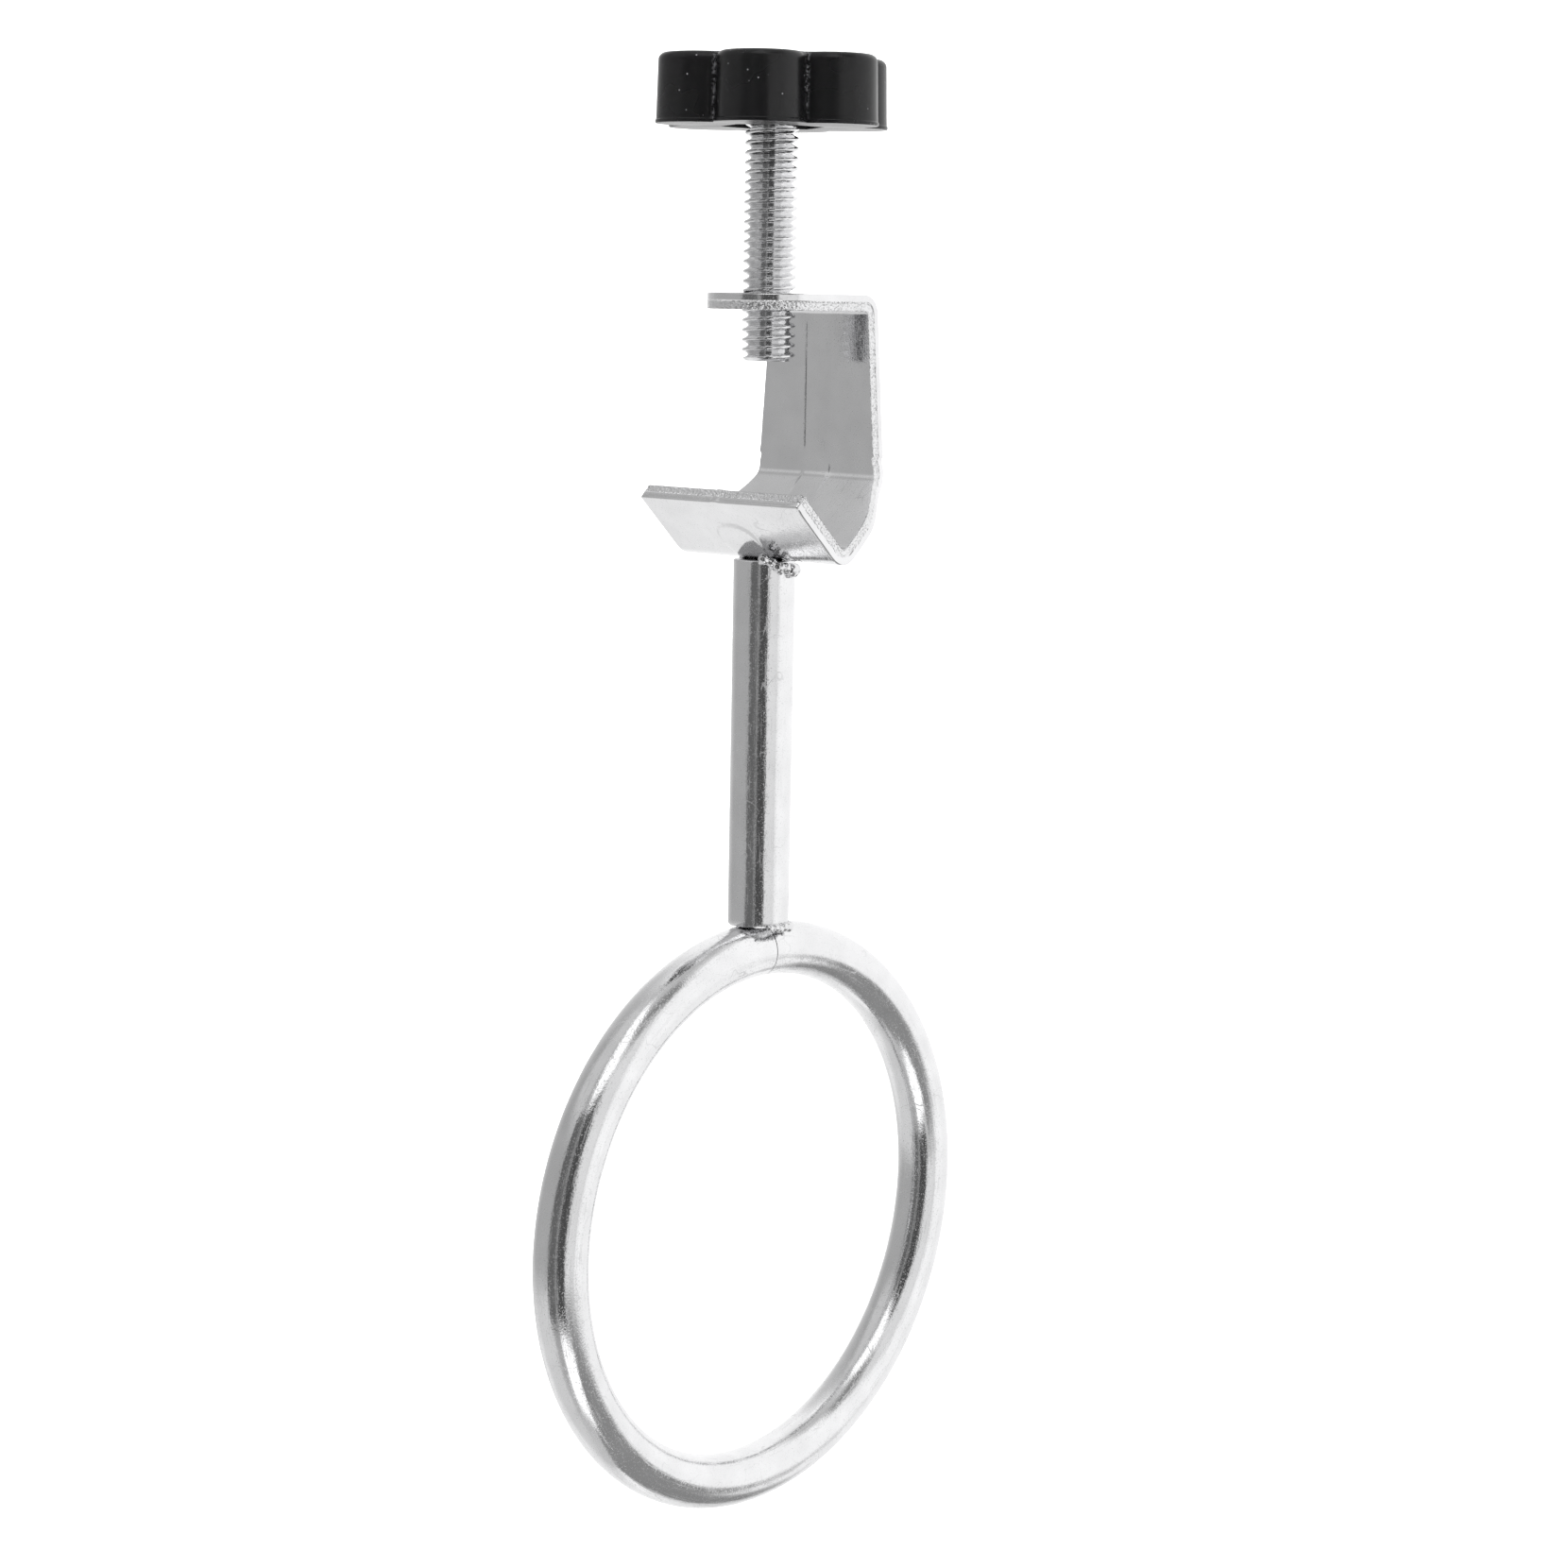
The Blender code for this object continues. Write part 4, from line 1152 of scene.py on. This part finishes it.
def tent_brightness(heading, elevation):
    """How bright the tent looks in one direction, as a display value from 0 to 1 and over.

    Headings are in degrees from the camera, positive to its right.
    """
    # Grey paper on the left, paler behind the object, overhead and underfoot
    value = 0.64 + 0.24 * min(max((abs(heading) - 118) / 60, 0.0), 1.0)
    value += 0.10 * min(max((abs(elevation) - 45) / 30, 0.0), 1.0)
    panels = (
        # heading from, to, elevation from, to, softness, display value
        (-140, -40, -75, -22, 9, 0.80),    # paler paper low on the left
        (-100, -40, 28, 75, 12, 0.76),
        (-185, -118, -66, -26, 20, 0.90),  # lit floor behind on the left
        (17, 200, -24, 52, 5, 0.86),       # white wall on the right
        (58, 200, -26, 56, 16, 0.965),     # its brighter far half
        (100, 200, -47, -10, 10, 0.94),    # the wall's foot
        (53, 55.5, -26, 50, 2, 0.74),      # the gap between its two sheets
        (18, 100, -92, -27, 8, 0.53),      # grey floor cloth, low on the right
        (90, 142, -92, -47, 8, 0.52),
        (30, 70, 40, 62, 12, 0.52),        # a grey flag above the right wall
        (-49, 17, -34, 34, 5, 0.29),       # dark room behind the camera
        (-49, -21, -34, 34, 4, 0.38),
        (-24, 20, 38, 78, 9, 1.10),        # overhead lamp
        (-12, 33, -62, -35, 7, 1.10),      # low front lamp
        (-21, -14, -34, 36, 3, 0.58),      # a slit of light in the dark room
    )
    for left, right, low, high, soft, level in panels:
        across = max(soft_box(heading, left, right, soft), soft_box(heading + 360, left, right, soft))
        value += (level - value) * across * soft_box(elevation, low, high, soft)
    return value


def build_tent(sizes, metal):
    """A sphere of panels that only reflections see, with its brightness kept in its mesh."""
    bm = bmesh.new()
    bmesh.ops.create_uvsphere(bm, u_segments=288, v_segments=144, radius=sizes.tent_radius)
    mesh = mesh_from_bm("light_tent", bm)
    right = Vector((math.cos(sizes.heading), math.sin(sizes.heading), 0.0))
    back = Vector((math.sin(sizes.heading), -math.cos(sizes.heading), 0.0))
    reflectance = sum(metal) / 3
    levels = []
    for vertex in mesh.vertices:
        away = vertex.co.normalized()
        heading = math.degrees(math.atan2(away.dot(right), away.dot(back)))
        elevation = math.degrees(math.asin(max(-1.0, min(1.0, away.z))))
        shown = tent_brightness(heading, elevation)
        levels.append(shown_to_linear(shown) / reflectance)
    store_numbers(mesh, "level", levels)
    material = bpy.data.materials.new("lit white fabric")
    material.use_nodes = True
    tree = material.node_tree
    tree.nodes.clear()
    glow = add_node(tree, "ShaderNodeEmission", {"Strength": stored(tree, "level", "Fac")})
    add_node(tree, "ShaderNodeOutputMaterial", {0: glow.outputs[0]})
    # Only reflections find the tent, so it is never sampled as a lamp.
    material.cycles.emission_sampling = "NONE"
    tent = new_piece("light_tent", mesh, material)
    tent.location.z = -0.05
    for ray in ("camera", "diffuse", "transmission", "volume_scatter", "shadow"):
        setattr(tent, f"visible_{ray}", False)


def build_floor(sizes, tint):
    """A pale round floor that sweeps up into a wall on every side."""
    floor_z = RING_LOW.z - sizes.floor_drop
    sweep = 0.6
    profile = [(0.0, floor_z), (sizes.floor_radius, floor_z)]
    profile += [(sizes.floor_radius + sweep * math.sin(math.pi / 2 * step / 12),
                 floor_z + sweep * (1 - math.cos(math.pi / 2 * step / 12))) for step in range(1, 13)]
    profile.append((sizes.floor_radius + sweep, floor_z + 3.0))
    bm = bmesh.new()
    points = [bm.verts.new((radius, 0.0, height)) for radius, height in profile]
    for first, second in zip(points, points[1:]):
        bm.edges.new((first, second))
    bmesh.ops.spin(bm, geom=bm.verts[:] + bm.edges[:], cent=(0, 0, 0), axis=(0, 0, 1),
                   angle=math.tau, steps=96, use_merge=True)
    bmesh.ops.remove_doubles(bm, verts=bm.verts, dist=0.1 * MM)
    mesh = mesh_from_bm("paper_floor", bm)
    mesh.shade_smooth()
    material, tree, shader = new_shader("matt white paper")
    connect(tree, shader, {"Base Color": (*tint, 1.0), "Roughness": 0.9, "Emission Color": (*tint, 1.0),
                           "Emission Strength": 0.45})
    material.cycles.emission_sampling = "NONE"
    floor = new_piece("paper_floor", mesh, material)
    floor.visible_glossy = False


def build_camera(sizes):
    """The camera, placed by its heading, elevation and roll about its aim."""
    back = Vector((math.sin(sizes.heading) * math.cos(sizes.elevation),
                   -math.cos(sizes.heading) * math.cos(sizes.elevation), math.sin(sizes.elevation)))
    right = Vector((math.cos(sizes.heading), math.sin(sizes.heading), 0.0))
    up = back.cross(right)
    place = back * sizes.distance + right * sizes.aim_right - up * sizes.aim_down
    turned = Matrix((right, up, back)).transposed() @ Matrix.Rotation(sizes.roll, 3, "Z")
    data = bpy.data.cameras.new("camera")
    data.lens = sizes.lens
    data.sensor_width = 36.0
    data.clip_start = 0.01
    data.clip_end = 20.0
    camera = bpy.data.objects.new("camera", data)
    camera.matrix_world = Matrix.Translation(place) @ turned.to_4x4()
    bpy.context.scene.collection.objects.link(camera)
    bpy.context.scene.camera = camera


class SUPPORT_RING_OT_stage(bpy.types.Operator):
    """Set the camera, the light tent, the lamp and the pale floor"""

    bl_idname = "support_ring.stage"
    bl_label = "Stage"

    def execute(self, context):
        sizes = context.scene.ring_stage
        finishes = context.scene.ring_finishes
        build_tent(sizes, finishes.zinc)
        build_floor(sizes, finishes.paper)
        build_camera(sizes)
        world = bpy.data.worlds.new("soft room")
        world.use_nodes = True
        background = world.node_tree.nodes["Background"]
        connect(world.node_tree, background, {"Color": (1.0, 1.0, 1.0, 1.0), "Strength": 0.9})
        context.scene.world = world
        lamp = bpy.data.lights.new("overhead lamp", "AREA")
        lamp.shape = "DISK"
        lamp.size = 1.2
        lamp.energy = 18.0
        holder = bpy.data.objects.new("overhead lamp", lamp)
        holder.location = (0.0, 0.0, 1.5)
        holder.visible_glossy = False
        context.scene.collection.objects.link(holder)
        context.scene.view_settings.view_transform = "Standard"
        return {"FINISHED"}


# ---------------------------------------------------------------- panel and registration

OPERATORS = (SUPPORT_RING_OT_hook, SUPPORT_RING_OT_handle, SUPPORT_RING_OT_ring, SUPPORT_RING_OT_welds,
             SUPPORT_RING_OT_bolt, SUPPORT_RING_OT_knob, SUPPORT_RING_OT_stage)
GROUPS = {"ring_hook": HookSizes, "ring_rods": RodSizes, "ring_bolt": BoltSizes, "ring_knob": KnobSizes,
          "ring_finishes": Finishes, "ring_stage": StageSizes}


class SUPPORT_RING_PT_panel(bpy.types.Panel):
    """Sizes, finishes and build buttons of the support ring"""

    bl_label = "Support Ring"
    bl_idname = "SUPPORT_RING_PT_panel"
    bl_space_type = "VIEW_3D"
    bl_region_type = "UI"
    bl_category = "Support Ring"

    def draw(self, context):
        for operator in OPERATORS:
            self.layout.operator(operator.bl_idname)
        for name, group in GROUPS.items():
            box = self.layout.box()
            box.label(text=group.__doc__)
            settings = getattr(context.scene, name)
            for key in group.__annotations__:
                box.prop(settings, key)


def register():
    for group in GROUPS.values():
        bpy.utils.register_class(group)
    for operator in OPERATORS:
        bpy.utils.register_class(operator)
    bpy.utils.register_class(SUPPORT_RING_PT_panel)
    for name, group in GROUPS.items():
        setattr(bpy.types.Scene, name, bpy.props.PointerProperty(type=group))


def unregister():
    for name in GROUPS:
        delattr(bpy.types.Scene, name)
    bpy.utils.unregister_class(SUPPORT_RING_PT_panel)
    for operator in reversed(OPERATORS):
        bpy.utils.unregister_class(operator)
    for group in GROUPS.values():
        bpy.utils.unregister_class(group)


def main():
    register()
    bpy.ops.support_ring.hook()
    bpy.ops.support_ring.handle()
    bpy.ops.support_ring.ring()
    bpy.ops.support_ring.welds()
    bpy.ops.support_ring.bolt()
    bpy.ops.support_ring.knob()
    bpy.ops.support_ring.stage()


if __name__ == "__main__":
    main()
